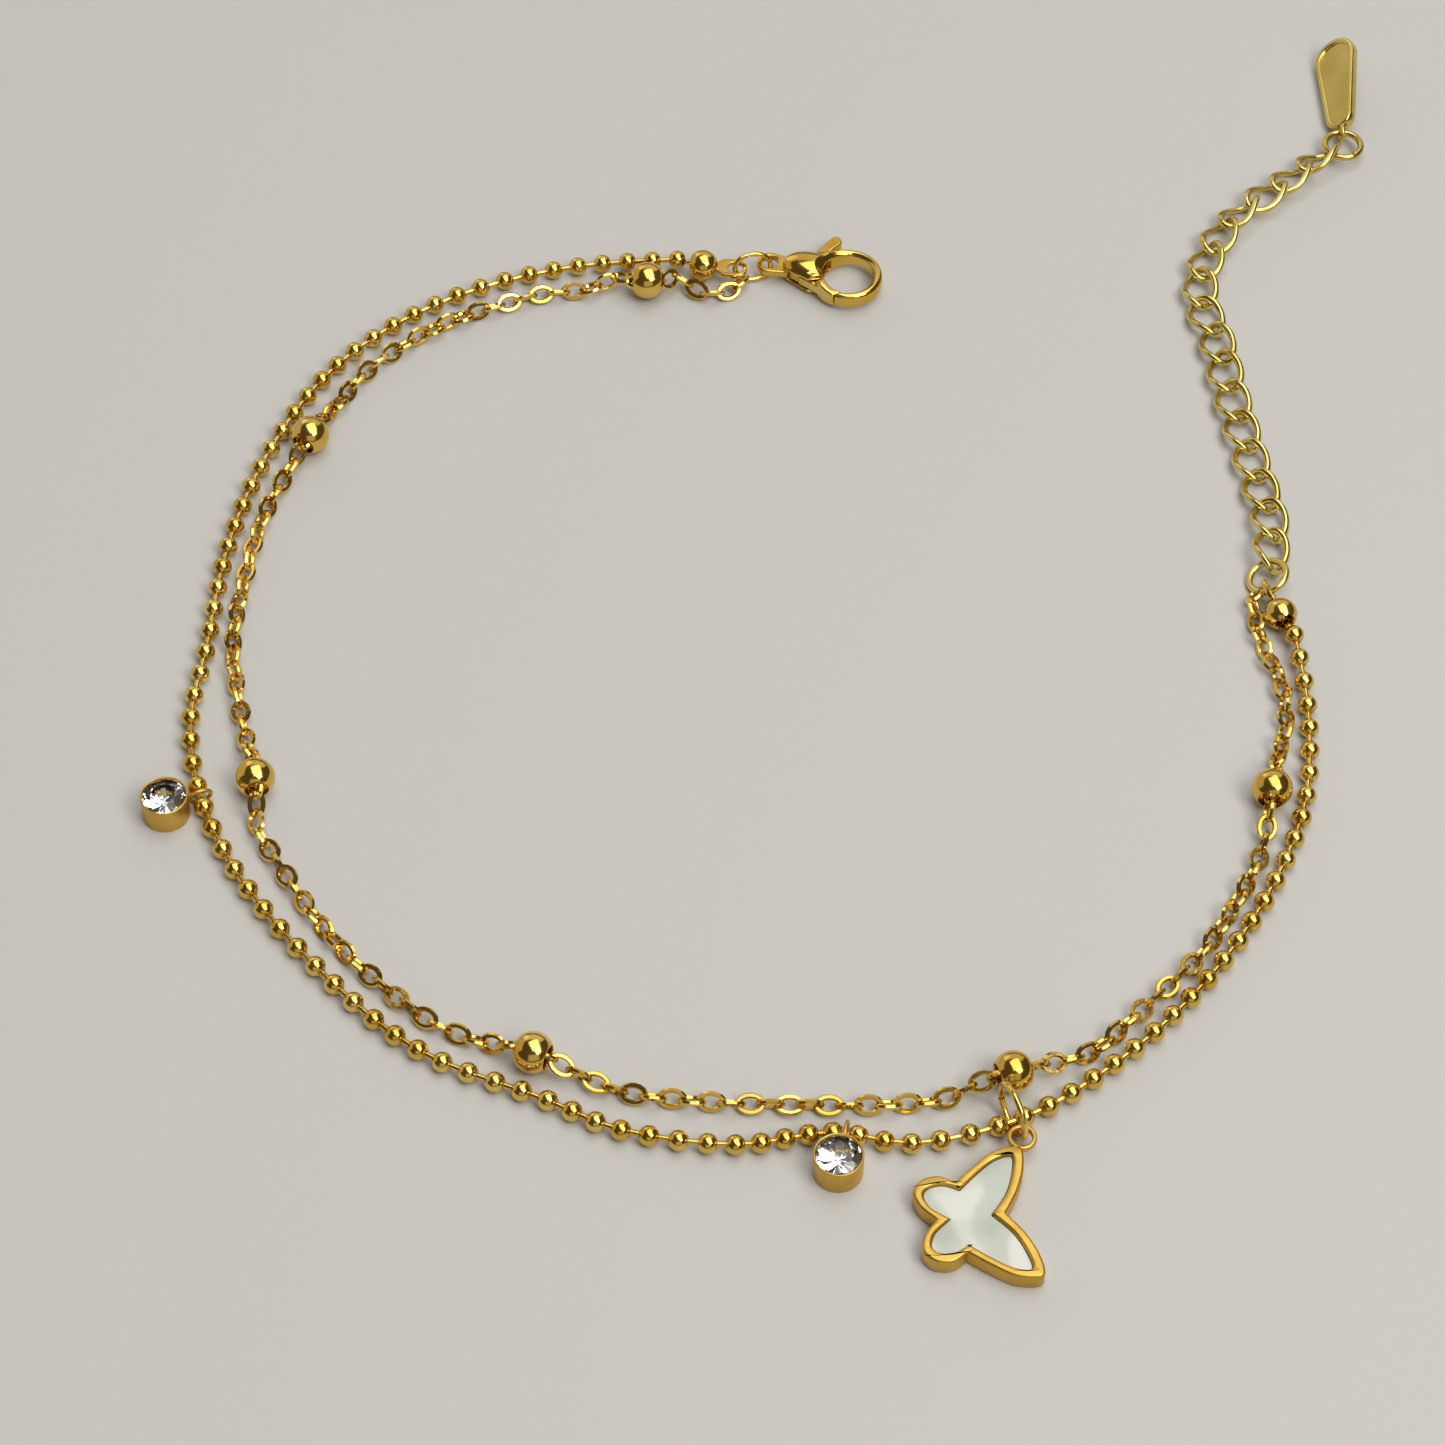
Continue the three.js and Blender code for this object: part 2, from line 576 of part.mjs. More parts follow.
function crystalGeometry() {
  const { girdle, table, culet, girdleLow, girdleHigh, top, sides } = CRYSTAL;
  const profile = [[0, culet], [girdle, girdleLow], [girdle, girdleHigh], [table, top], [0, top]];
  const points = profile.map(([radius, z]) => new THREE.Vector2(radius, z));
  return new THREE.LatheGeometry(points, sides).rotateX(Math.PI / 2).translate(CRYSTAL_CUP.offset, 0, 0);
}

function crystalCharms() {
  CRYSTALS.forEach(([between, turn], i) => {
    const point = ballRoute.at(between).setZ(0);
    lay(add(`crystal_cup_${i + 1}`, crystalCupGeometry(), SATIN_GOLD), point, heading(turn));
    lay(add(`crystal_${i + 1}`, crystalGeometry(), CLEAR_STONE), point, heading(turn));
  });
}

// The wing outline: fore and hind lobes on one side, then the same mirrored back
function wingOutline(column) {
  const lobe = (rows, side) => rows.map((row) => new THREE.Vector2(row[column], side * row[column + 1]));
  const shape = new THREE.Shape();
  shape.moveTo(FOREWING[0][column], FOREWING[0][column + 1]);
  shape.splineThru(lobe(FOREWING.slice(1), 1));
  shape.splineThru(lobe(HINDWING.slice(1), 1));
  shape.splineThru(lobe(HINDWING.slice(0, -1).reverse(), -1));
  shape.splineThru(lobe(FOREWING.slice(0, -1).reverse(), -1));
  return shape;
}

// The same outline moved inward by a distance along its corner normals
function inset(shape, distance, divisions) {
  const points = shape.getPoints(divisions).slice(0, -1);
  return new THREE.Shape(points.map((point, i) => {
    const before = point.clone().sub(points.at(i - 1)).normalize();
    const after = points[(i + 1) % points.length].clone().sub(point).normalize();
    const inward = new THREE.Vector2(-before.y - after.y, before.x + after.x).normalize();
    const slant = -before.y * inward.x + before.x * inward.y;
    return point.clone().addScaledVector(inward, distance / slant);
  }));
}

function butterfly() {
  const { thickness, floor, inlayLow, inlayTop, splineSteps } = BUTTERFLY;
  const { x, y, outer, hole, low, high, steps } = BUTTERFLY_EYE;
  const rim = plate(wingOutline(0), 0, thickness, splineSteps);
  const pocket = plate(wingOutline(2), floor, thickness + 1, splineSteps);
  const eye = plate(disc(x, y, outer), low, high, steps);
  const eyeHole = plate(disc(x, y, hole), 0, thickness + 1, steps);
  const frame = cut(join(rim, eye), pocket, eyeHole);
  const inlay = plate(inset(wingOutline(2), INLAY_PLAY, splineSteps), inlayLow, inlayTop);

  const { between, radius, wire, z, shift, eyeReach } = BUTTERFLY_RING;
  const strand = ballRoute.at(between);
  const ahead = ballRoute.ahead(between).setZ(0).normalize();
  const outward = new THREE.Vector3().crossVectors(ahead, UP);
  const ringCentre = strand.clone().addScaledVector(outward, shift).setZ(z);
  lay(add('butterfly_ring', wireLoop(radius, radius, wire), GOLD), ringCentre, outward, 90);

  const axis = heading(BUTTERFLY.heading);
  const eyeOffset = new THREE.Vector3(x, y, 0).applyAxisAngle(UP, rad(BUTTERFLY.heading));
  const centre = strand.clone().addScaledVector(outward, eyeReach).sub(eyeOffset).setZ(0);
  lay(add('butterfly_frame', frame, SATIN_GOLD), centre, axis);
  lay(add('butterfly_inlay', inlay, PEARL), centre, axis);
}

ballChain();
cableChain();
stationBeads();
claspRing(endCups());
clasp();
extenderRing();
tag(extender());
crystalCharms();
butterfly();

// The origin is under the middle of the whole anklet, on the table
const box = new THREE.Box3().setFromObject(layout, true);
const middle = box.getCenter(new THREE.Vector3());
layout.position.set(-middle.x, -middle.y, -box.min.z);

const anklet = new THREE.Group();
anklet.add(layout);

export default anklet;
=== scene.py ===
# A charm anklet lying open on a pale table: round balls on pins, real cable links, drilled beads,
# a cast lobster clasp, curb links with a bare tag, two cut stones in cups and a pearl butterfly.
# Tables are in millimetres and degrees, in the layout that the solids were drawn in.
from math import asin, atan2, cos, degrees, hypot, pi, radians, sin

import bmesh
import bpy
from mathutils import Matrix, Vector


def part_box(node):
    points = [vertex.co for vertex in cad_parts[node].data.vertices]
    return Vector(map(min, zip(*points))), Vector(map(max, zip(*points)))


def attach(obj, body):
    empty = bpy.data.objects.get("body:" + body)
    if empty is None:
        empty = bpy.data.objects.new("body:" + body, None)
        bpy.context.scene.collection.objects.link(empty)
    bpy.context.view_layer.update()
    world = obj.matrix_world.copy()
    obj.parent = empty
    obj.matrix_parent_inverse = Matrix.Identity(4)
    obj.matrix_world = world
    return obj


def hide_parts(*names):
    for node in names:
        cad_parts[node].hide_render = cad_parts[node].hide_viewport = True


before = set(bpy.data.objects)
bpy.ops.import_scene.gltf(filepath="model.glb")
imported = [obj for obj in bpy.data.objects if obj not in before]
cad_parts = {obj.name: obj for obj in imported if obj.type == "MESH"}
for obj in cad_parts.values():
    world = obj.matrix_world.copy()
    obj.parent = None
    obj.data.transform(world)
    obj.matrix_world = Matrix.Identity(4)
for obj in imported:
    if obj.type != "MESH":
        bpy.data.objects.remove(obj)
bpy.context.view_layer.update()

MM = 0.001
UP = Vector((0, 0, 1))

# Points closer than this count as one
NEAR = 1e-3

# How far a face's normal may rise if it is upright, and must point along an axis that it faces
UPRIGHT = 0.2
FACING = 0.9

# How far cutters reach from the middle of a piece, or over its top
CUTTER = dict(half=2, over=1)

# The photograph's camera: focal length in its pixels, and its scale where the optical axis meets the table
PHOTO_SIDE = 1445
PHOTO_FOCAL = 4000
PHOTO_PIXELS_PER_MM = 13.4
PHOTO_ELEVATION = 51.8
SENSOR_WIDTH = 36

# Ball strand: one row for each settled ball, numbered from the clasp end
BALL = dict(radius=0.75, last=100, segments=20, rings=12, lift=(0.5, 0.42), roll_step=17)
BALL_DIMPLE = dict(from_share=0.9, depth=0.1, shrink=(0.2, 0.8, 0.8))
PIN = dict(radius=0.22, length=1.0, sides=10, collar=0.05, spread=(1, 1.3, 1.3))
BALL_ROUTE = (
    # ball, x, y
    (0, -1.6, 46.5), (1, -3.7, 47.2), (6, -13.8, 46.4), (11, -23.3, 42.5), (16, -30.8, 35.8),
    (21, -35.5, 26.8), (26, -38.1, 16.7), (31, -39.0, 6.2), (34, -39.6, -0.1), (37, -38.6, -6.5),
    (41, -35.3, -14.1), (46, -28.9, -22.6), (51, -21.3, -29.7), (56, -12.1, -33.9), (59, -7.0, -36.3),
    (63, 0.9, -37.5), (67, 7.6, -36.5), (70, 13.0, -37.4), (73, 19.0, -36.0), (76, 24.2, -33.3),
    (81, 31.7, -26.8), (86, 37.9, -18.7), (91, 42.3, -9.4), (95, 43.6, -1.1), (99, 43.2, 7.5),
    (100, 42.35, 9.5),
)

# Cable chain: the runs between the station beads, and the slow wave in which the links are rolled
CABLE_LINK = dict(half_length=0.88, half_width=0.6, wire=0.2, pitch=1.36, rest=0.64, lead=1.5, settle=4.5)
BEAD = dict(radius=1.5, mouth=1.23, mouth_band=0.1, edge=0.1)
BEADS = ((-6.1, 44.5), (-32.4, 27.6), (-34.3, -6.3), (-13.2, -30.4), (20.2, -32.0), (40.25, -7.3))
CABLE_RUNS = (
    ((1.35, 45.15), (0.6, 44.2), (-1.4, 43.9), (-3.7, 45.1)),
    ((-8.6, 45.0), (-11.3, 44.2), (-14.2, 43.9), (-17.7, 42.7), (-21.8, 40.8), (-25.1, 38.5),
     (-28.3, 35.4), (-30.6, 31.5)),
    ((-33.6, 25.0), (-35.3, 20.9), (-36.1, 17.2), (-36.6, 13.4), (-37.0, 8.9), (-36.8, 5.0), (-35.4, -1.9)),
    ((-33.9, -10.3), (-31.9, -13.9), (-29.3, -18.1), (-25.7, -22.6), (-20.7, -27.1), (-17.1, -28.9)),
    ((-10.4, -31.7), (-6.6, -33.2), (-1.2, -33.9), (4.7, -34.2), (10.4, -34.2), (15.0, -33.8), (17.6, -32.8)),
    ((22.9, -31.1), (25.9, -29.7), (28.5, -27.3), (31.9, -23.9), (34.7, -20.6), (38.1, -14.8), (39.4, -11.5)),
    ((41.1, -3.6), (41.9, -0.7), (41.9, 3.1), (41.2, 5.6), (40.6, 8.3), (40.45, 11.5), (40.66, 11.8)),
)
CABLE_ROLL = dict(middle=32, swing=20, wave=11)

# Cups that hold the last balls, each with a flat tab and an eye
CUP = dict(outer=1.25, wall=0.2, mouth=0.7)
TAB = dict(reach=2.7, root=1.08, half_width=0.9, eye_outer=0.95, eye_hole=0.62, thickness=0.4, edge=0.08)
CUP_1_AHEAD = (2.7, -0.45, 0)
CUP_2_TURN = 60

# Rings of bent wire, each with the small cut where it was closed
CLASP_RING = dict(half_length=1.5, half_width=1.05, wire=0.21, roll=60, cut=100)
EXTENDER_RING = dict(x=41.72, y=13.45, z=0.95, radius=1.475, wire=0.275, tilt=-26, cut=150)
TAG_RING = dict(radius=1.5, wire=0.275, z=1.05, cut=300)
CHARM_RING = dict(between=73.5, radius=1.95, wire=0.24, z=2.16, shift=0.05, roll=90, cut=200)

# Extender: twisted curb links along a route, each rolled as it lies
CURB_LINK = dict(
    half_length=2.02, half_width=1.28, wire=0.215, drawn_wire=0.28, twist=-45, pitch=3.16, play=0.25)
EXTENDER_ROUTE = (
    (42.2, 16.1), (42.4, 19.2), (41.4, 25.9), (40.3, 33.1), (39.6, 39.1), (38.9, 42.3),
    (39.1, 46.0), (41.6, 51.3), (45.6, 55.3), (50.3, 59.4), (55.0, 62.4),
)
CURB_ROLLS = (18, 8, 0, 0, 2, -6, -14, -8, 0, -8, -14, -14, -32, -12, -23, -36)

# Tag: a rimmed plate that widens away from its eye
TAG = dict(length=10, near=2.5, far=3.8, thickness=0.9, rim=0.5, web_inset=0.3, recess=0.2, edge=0.17)
TAG_LIE = dict(heading=88, lean=-40, pitch=-3.5)
TAG_EYE = dict(radius=0.65, wire=0.2, overlap=0.12)

# Clasp, in its own plane with its eye at the origin and the bow ahead along +X
CLASP = dict(x=3.87, y=46.78, z=1.05, heading=-16.5, half=1.05, edge=0.55)
CLASP_EYE = dict(outer=1.12, hole=0.7, half=0.31, edge=0.12)
CLASP_TIP = dict(x=1.95, y=0.1, radius=0.85)
BOW = dict(x=6.55, y=0.25, outer=2.8, inner=2.1, flare=0.7, taper=0.3, first=4.2, last=6.4)
PILLOW = dict(x=3.3, y=0.2, z=0.45, radii=(2.25, 1.5, 0.95))
SLOT = dict(half=0.55, wall=1.7, end=4.78, corner=1, reach=5)
SEAM = dict(x=5.2, y=-3.3, angle=42, low=-2.5, high=2.4, gap=0.25, step=0.005, steps=1600)
GATE = dict(start=218, arm_turn=6, body_cut=211, cut_from=1.2, half=0.9, edge=0.22)
LEVER = dict(x=3, y=0.2, pin=0.4, pin_sink=0.1, hole=0.62, half=0.44, edge=0.12)
LEVER_ARM = dict(radius=0.375, spread=0.01, root=0.4)
LEVER_BACK = (
    (1.95, -0.66), (4.75, -1.9), (4.9, -1.5), (4.4, -0.6), (4.2, 0.2), (3, 1.1), (2.3, 0.6), (1.95, -0.2),
)
NUB = dict(x=4.55, y=3.75, radius=0.5, root=0.3)
CAST_BODY = dict(voxel=0.06, rounds=8)
CAST_GATE = dict(voxel=0.05, rounds=5)

# Crystal charms: place between balls, heading from the strand
STONE_CUP = dict(outer=1.75, height=2.2, floor=0.45, rim=0.14, edge=0.06, offset=2.65)
STONE_EYE = dict(half_length=0.82, half_width=0.58, wire=0.15, z=0.8)
STONE = dict(girdle=1.57, low=0.7, girdle_low=2.0, girdle_high=2.08, top=2.4, table=0.9, mains=8)
FACETS = dict(upper_steeper=8, star_flatter=13, lower_steeper=3)
STONE_SEAT = dict(sides=14, tip=0.1, play=0.02, deeper=0.1, drop=0.1, thickness=0.03)
STONES = ((37.5, -158), (67.5, -102))

# Butterfly: one pair of wings, mirrored across its body line
BUTTERFLY = dict(thickness=1.5, floor=0.6, inlay_low=0.72, inlay_top=1.25, heading=6.5, reach=1.69)
BUTTERFLY_EDGE = dict(rim=0.2, lip=0.17, inlay=0.05, eye=0.12, play=0.05)
FOREWING = (
    # rim x, rim y, inlay x, inlay y
    (2.4, 0, 1.45, 0), (3.5, 1.7, 2.7, 1.6), (4.2, 3.6, 3.4, 3.4), (4.15, 5.1, 3.45, 4.5),
    (2.4, 5.0, 2.2, 4.25), (0.7, 3.9, 0.9, 3.35), (-0.65, 2.8, -0.45, 2.2),
)
HINDWING = (
    (-0.65, 2.8, -0.45, 2.2), (-1.75, 3.4, -1.55, 2.7), (-2.95, 3.2, -2.6, 2.55),
    (-3.65, 2.3, -3.0, 1.95), (-3.35, 1.1, -2.6, 0.95), (-2.4, 0, -1.45, 0),
)
WING_EYE = dict(x=4.45, y=5.9, outer=1.02, hole=0.7, low=0.9, high=1.4)

# Pearl: its tints along the bands, and how much the bands count beside the drift
PEARL_BANDS = 0.45
PEARL_TINTS = (
    # position, colour
    (0.25, (0.41, 0.47, 0.40)),
    (0.5, (0.51, 0.56, 0.47)),
    (0.7, (0.55, 0.59, 0.50)),
    (0.9, (0.72, 0.74, 0.66)),
)

# Light, with places and sizes in metres from the middle of the layout
ROOM = dict(colour=(1, 0.82, 0.58, 1), strength=0.09)
LIGHTS = (
    # name, place, size, watts, colour
    ("overhead_softbox", (0.15, 0.06, 0.75), (0.90, 0.70), 3.85, (0.97, 0.985, 1)),
    ("key_softbox", (0.34, -0.30, 0.55), (0.32, 0.32), 1.9, (1, 0.97, 0.92)),
    ("left_fill", (-0.66, 0.42, 0.30), (1.3, 0.6), 1.1, (1, 0.93, 0.82)),
    ("front_fill", (0.10, -0.85, 0.40), (1.0, 0.6), 0.8, (1, 0.93, 0.82)),
    ("back_fill", (0.05, 0.80, 0.50), (1.4, 0.7), 1.8, (1, 0.95, 0.88)),
)

# Sockets of a Mix node for colours, whose names repeat for each kind of value
MIX_SHARE, MIX_FIRST, MIX_SECOND, MIX_RESULT = 0, 6, 7, 2


# Where the layout lies in the frame, from the first bead
bead_low, bead_high = (Vector(corner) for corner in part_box("station_bead_1"))
bead_centre = (bead_low + bead_high) / 2
SHIFT = Vector((bead_centre.x - BEADS[0][0] * MM, bead_centre.y - BEADS[0][1] * MM, 0))


# Selecting, shaping and placing by hand
def only(*pieces):
    """Leaves just these pieces selected, with the first of them active."""
    if bpy.context.mode != "OBJECT":
        bpy.ops.object.mode_set(mode="OBJECT")
    bpy.ops.object.select_all(action="DESELECT")
    for piece in pieces:
        piece.select_set(True)
    bpy.context.view_layer.objects.active = pieces[0]


def start(name):
    """Takes the primitive that was just added, unturned, as a new piece."""
    bpy.ops.object.transform_apply(location=True, rotation=True, scale=True)
    piece = bpy.context.active_object
    piece.name = name
    piece.data.name = name
    return piece


def pick(piece, kind, test):
    """In edit mode, selects the vertices, edges or faces that pass a test of their place."""
    only(piece)
    bpy.ops.object.mode_set(mode="EDIT")
    bpy.ops.mesh.select_mode(type=kind)
    bpy.ops.mesh.select_all(action="DESELECT")
    shape = bmesh.from_edit_mesh(piece.data)
    parts = {"VERT": shape.verts, "EDGE": shape.edges, "FACE": shape.faces}[kind]
    for part in [part for part in parts if test(part)]:
        part.select_set(True)
    bmesh.update_edit_mesh(piece.data)


def middle(face):
    return face.calc_center_median()


def weld(piece, distance=1e-4):
    """Merges doubles and turns every face outwards."""
    pick(piece, "FACE", lambda face: True)
    bpy.ops.mesh.remove_doubles(threshold=distance)
    bpy.ops.mesh.select_all(action="SELECT")
    bpy.ops.mesh.normals_make_consistent(inside=False)
    only(piece)


def work(piece, kind, **settings):
    """Adds a modifier to a piece and applies it."""
    only(piece)
    bpy.ops.object.modifier_add(type=kind)
    modifier = piece.modifiers[-1]
    for setting, value in settings.items():
        setattr(modifier, setting, value)
    bpy.ops.object.modifier_apply(modifier=modifier.name)


def fuse(piece, *others):
    """Joins pieces into one solid."""
    for other in others:
        work(piece, "BOOLEAN", operation="UNION", solver="EXACT", object=other)
        bpy.data.objects.remove(other)
    return piece


def carve(piece, *tools):
    """Cuts pieces away from a solid."""
    for tool in tools:
        work(piece, "BOOLEAN", operation="DIFFERENCE", solver="EXACT", object=tool)
        bpy.data.objects.remove(tool)
    return piece


def copy_of(piece, name):
    twin = piece.copy()
    twin.data = piece.data.copy()
    twin.name = name
    twin.data.name = name
    bpy.context.collection.objects.link(twin)
    return twin


def join(pieces, name):
    """Makes one mesh of many small pieces."""
    only(*pieces)
    bpy.ops.object.join()
    whole = bpy.context.active_object
    whole.name = name
    whole.data.name = name
    return whole


def lay(piece, point, ahead, roll=0.0):
    """Sets a piece at a layout point with its +X ahead, then rolls it about that way."""
    forward = Vector(ahead).normalized()
    left = UP.cross(forward).normalized()
    above = forward.cross(left)
    turn = Matrix((forward, left, above)).transposed().to_4x4()
    place = Matrix.Translation(Vector(point) * MM + SHIFT) @ turn @ Matrix.Rotation(radians(roll), 4, "X")
    piece.data.transform(place @ Matrix.Scale(MM, 4))
    return piece


def rest(piece):
    """Lifts a laid piece that would reach below the table."""
    low = min(vertex.co.z for vertex in piece.data.vertices)
    piece.data.transform(Matrix.Translation((0, 0, max(-low, 0))))
    return piece


def heading(angle):
    return Vector((cos(radians(angle)), sin(radians(angle)), 0))


def dress(piece, material, slot, *nodes, body="anklet", crease=40):
    """Gives a finished piece its surface, and its place in the frame."""
    only(piece)
    bpy.ops.object.shade_smooth_by_angle(angle=radians(crease))
    piece.data.materials.clear()
    piece.data.materials.append(material)
    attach(piece, body)
    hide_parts(*nodes)


# Outlines and plates
def circle(x, y, radius, steps=48):
    turns = [2 * pi * i / steps for i in range(steps)]
    return [(x + radius * cos(turn), y + radius * sin(turn)) for turn in turns]


def teardrop(x0, y0, r0, x1, y1, r1, steps=20):
    """The outline round two circles and their outer tangents."""
    axis = atan2(y1 - y0, x1 - x0)
    back = pi / 2 + asin((r1 - r0) / hypot(x1 - x0, y1 - y0))
    arcs = ((x1, y1, r1, axis - back, axis + back), (x0, y0, r0, axis + back, axis + 2 * pi - back))
    outline = []
    for x, y, radius, first, last in arcs:
        outline += arc(x, y, radius, degrees(first), degrees(last), steps)
    return outline


def arc(x, y, radius, first, last, steps=20):
    turns = [radians(first + (last - first) * i / steps) for i in range(steps + 1)]
    return [(x + radius * cos(turn), y + radius * sin(turn)) for turn in turns]


def shrink(outline, distance):
    """The same outline moved inward along its corner normals."""
    count = len(outline)
    inner = []
    for i, point in enumerate(outline):
        here = Vector(point)
        before = (here - Vector(outline[i - 1])).normalized()
        after = (Vector(outline[(i + 1) % count]) - here).normalized()
        inward = Vector((-before.y - after.y, before.x + after.x)).normalized()
        slant = -before.y * inward.x + before.x * inward.y
        inner.append(tuple(here + inward * distance / slant))
    return inner


def plate(name, outlines, low, high, edge=0.0):
    """A plate between two heights with rounded edges; outlines come in already shrunk by the edge."""
    curve = bpy.data.curves.new(name, "CURVE")
    curve.dimensions = "2D"
    curve.fill_mode = "BOTH"
    curve.extrude = (high - low) / 2 - edge
    curve.bevel_depth = edge
    curve.bevel_resolution = 3
    for outline in outlines:
        spline = curve.splines.new("POLY")
        spline.points.add(len(outline) - 1)
        for knot, (x, y) in zip(spline.points, outline):
            knot.co = (x, y, 0, 1)
        spline.use_cyclic_u = True
    drawn = bpy.data.objects.new(name, curve)
    bpy.context.collection.objects.link(drawn)
    only(drawn)
    bpy.ops.object.convert(target="MESH")
    piece = bpy.context.active_object
    piece.data.transform(Matrix.Translation((0, 0, (low + high) / 2)))
    weld(piece, NEAR)
    return piece


def wire_ring(name, half_length, half_width, wire, around=56, sides=12, cut_at=None):
    """A closed or cut ring of round wire, lying flat, longest along X."""
    bpy.ops.mesh.primitive_torus_add(
        major_radius=1, minor_radius=wire, major_segments=around, minor_segments=sides)
    ring = start(name)
    for vertex in ring.data.vertices:
        angle = atan2(vertex.co.y, vertex.co.x)
        outward = hypot(vertex.co.x, vertex.co.y) - 1
        normal = Vector((half_width * cos(angle), half_length * sin(angle), 0)).normalized()
        centre = Vector((half_length * cos(angle), half_width * sin(angle), 0))
        vertex.co = centre + normal * outward + UP * vertex.co.z
    if cut_at is not None:
        step = 360 / around
        spot = (cut_at // step + 0.5) * step

        def in_cut(face):
            place = middle(face)
            turn = degrees(atan2(place.y / half_width, place.x / half_length))
            return abs((turn - spot + 180) % 360 - 180) < step / 2

        pick(ring, "FACE", in_cut)
        bpy.ops.mesh.delete(type="FACE")
        bpy.ops.mesh.select_all(action="SELECT")
        bpy.ops.mesh.fill_holes(sides=0)
        only(ring)
    return ring


# Routes
def ease(share):
    """A soft start and a soft end between 0 and 1."""
    t = min(max(share, 0), 1)
    return t * t * (3 - 2 * t)


def curve_point(a, b, c, d, t):
    """A point from b to c on a smooth line that comes from a and goes on to d."""
    bend = (2 * a - 5 * b + 4 * c - d) * t * t + (3 * b - a - 3 * c + d) * t ** 3
    return b + ((c - a) * t + bend) / 2


def strand_knot(i):
    ball, x, y = BALL_ROUTE[i]
    from_end = min(ball, BALL["last"] - ball)
    lift = BALL["lift"][from_end] if from_end < len(BALL["lift"]) else 0
    return ball, Vector((x, y, BALL["radius"] + lift))


def strand_slope(i):
    first, start_point = strand_knot(max(i - 1, 0))
    last, end_point = strand_knot(min(i + 1, len(BALL_ROUTE) - 1))
    return (end_point - start_point) / (last - first)


def strand_at(place):
    """The ball strand's centre line, by the number of the ball."""
    i = max(k for k in range(len(BALL_ROUTE) - 1) if BALL_ROUTE[k][0] <= place)
    first, a = strand_knot(i)
    last, b = strand_knot(i + 1)
    span = last - first
    t = (place - first) / span
    rise = ease(t)
    point = a * (1 - rise) + b * rise
    point += strand_slope(i) * span * t * (1 - t) ** 2
    point += strand_slope(i + 1) * span * t * t * (t - 1)
    point.z = max(point.z, BALL["radius"])
    return point


def strand_ahead(place):
    step = 0.01
    return (strand_at(min(place + step, BALL["last"])) - strand_at(max(place - step, 0))).normalized()


def strand_outward(place):
    """The level way from the strand to the outside of the loop."""
    ahead = strand_ahead(place)
    return Vector((ahead.x, ahead.y, 0)).normalized().cross(UP)


def smooth_route(points, steps=40):
    """A smooth line through points, as places with the distance run to each."""
    knots = [2 * points[0] - points[1], *points, 2 * points[-1] - points[-2]]
    line = []
    for a, b, c, d in zip(knots, knots[1:], knots[2:], knots[3:]):
        line += [curve_point(a, b, c, d, i / steps) for i in range(steps)]
    line.append(points[-1])
    run = [0.0]
    for before, after in zip(line, line[1:]):
        run.append(run[-1] + (after - before).length)
    return line, run


def along(route, distance):
    """The point and the way ahead at a distance along a route."""
    line, run = route
    reached = next((k for k, length in enumerate(run) if length >= distance), len(run) - 1)
    i = max(reached, 1)
    share = (distance - run[i - 1]) / (run[i] - run[i - 1])
    return line[i - 1].lerp(line[i], share), (line[i] - line[i - 1]).normalized()


def bead_ahead(i):
    before = Vector(CABLE_RUNS[i][-1])
    after = Vector(CABLE_RUNS[i + 1][0])
    return (after - before).normalized().to_3d()


# Surfaces
def node(tree, kind, **values):
    made = tree.nodes.new(kind)
    for name, value in values.items():
        socket = name.replace("_", " ")
        if socket in made.inputs:
            made.inputs[socket].default_value = value
        else:
            setattr(made, name, value)
    return made


def surface(name, **values):
    """A new material's shader and its node tree."""
    material = bpy.data.materials.new(name)
    material.use_nodes = True
    tree = material.node_tree
    shader = tree.nodes["Principled BSDF"]
    for socket, value in values.items():
        shader.inputs[socket.replace("_", " ")].default_value = value
    return material, tree, shader


def polish_group():
    """Metal that is a little uneven in colour and gloss, as handled plating is."""
    group = bpy.data.node_groups.new("uneven_polish", "ShaderNodeTree")
    inputs = (
        ("Deep", "NodeSocketColor"), ("Bright", "NodeSocketColor"), ("Cloud Scale", "NodeSocketFloat"),
        ("Gloss", "NodeSocketFloat"), ("Dull", "NodeSocketFloat"), ("Grain Scale", "NodeSocketFloat"),
    )
    outputs = (
        ("Color", "NodeSocketColor"), ("Roughness", "NodeSocketFloat"), ("Grain", "NodeSocketFloat"),
    )
    for name, kind in inputs:
        group.interface.new_socket(name, in_out="INPUT", socket_type=kind)
    for name, kind in outputs:
        group.interface.new_socket(name, in_out="OUTPUT", socket_type=kind)
    given = group.nodes.new("NodeGroupInput")
    result = group.nodes.new("NodeGroupOutput")
    place = group.nodes.new("ShaderNodeTexCoord")
    cloud = node(group, "ShaderNodeTexNoise", Detail=2.0, Roughness=0.5)
    grain = node(group, "ShaderNodeTexNoise", Detail=4.0, Roughness=0.6)
    tone = group.nodes.new("ShaderNodeMix")
    tone.data_type = "RGBA"
    spread = node(group, "ShaderNodeMapRange", From_Min=0.3, From_Max=0.7)
    gloss = group.nodes.new("ShaderNodeMapRange")
    links = (
        (place, "Object", cloud, "Vector"), (place, "Object", grain, "Vector"),
        (given, "Cloud Scale", cloud, "Scale"), (given, "Grain Scale", grain, "Scale"),
        (cloud, "Fac", spread, "Value"), (grain, "Fac", gloss, "Value"),
        (given, "Gloss", gloss, "To Min"), (given, "Dull", gloss, "To Max"),
        (gloss, "Result", result, "Roughness"), (grain, "Fac", result, "Grain"),
    )
    for source, output, target, entry in links:
        group.links.new(source.outputs[output], target.inputs[entry])
    group.links.new(spread.outputs["Result"], tone.inputs[MIX_SHARE])
    group.links.new(given.outputs["Deep"], tone.inputs[MIX_FIRST])
    group.links.new(given.outputs["Bright"], tone.inputs[MIX_SECOND])
    group.links.new(tone.outputs[MIX_RESULT], result.inputs["Color"])
    return group


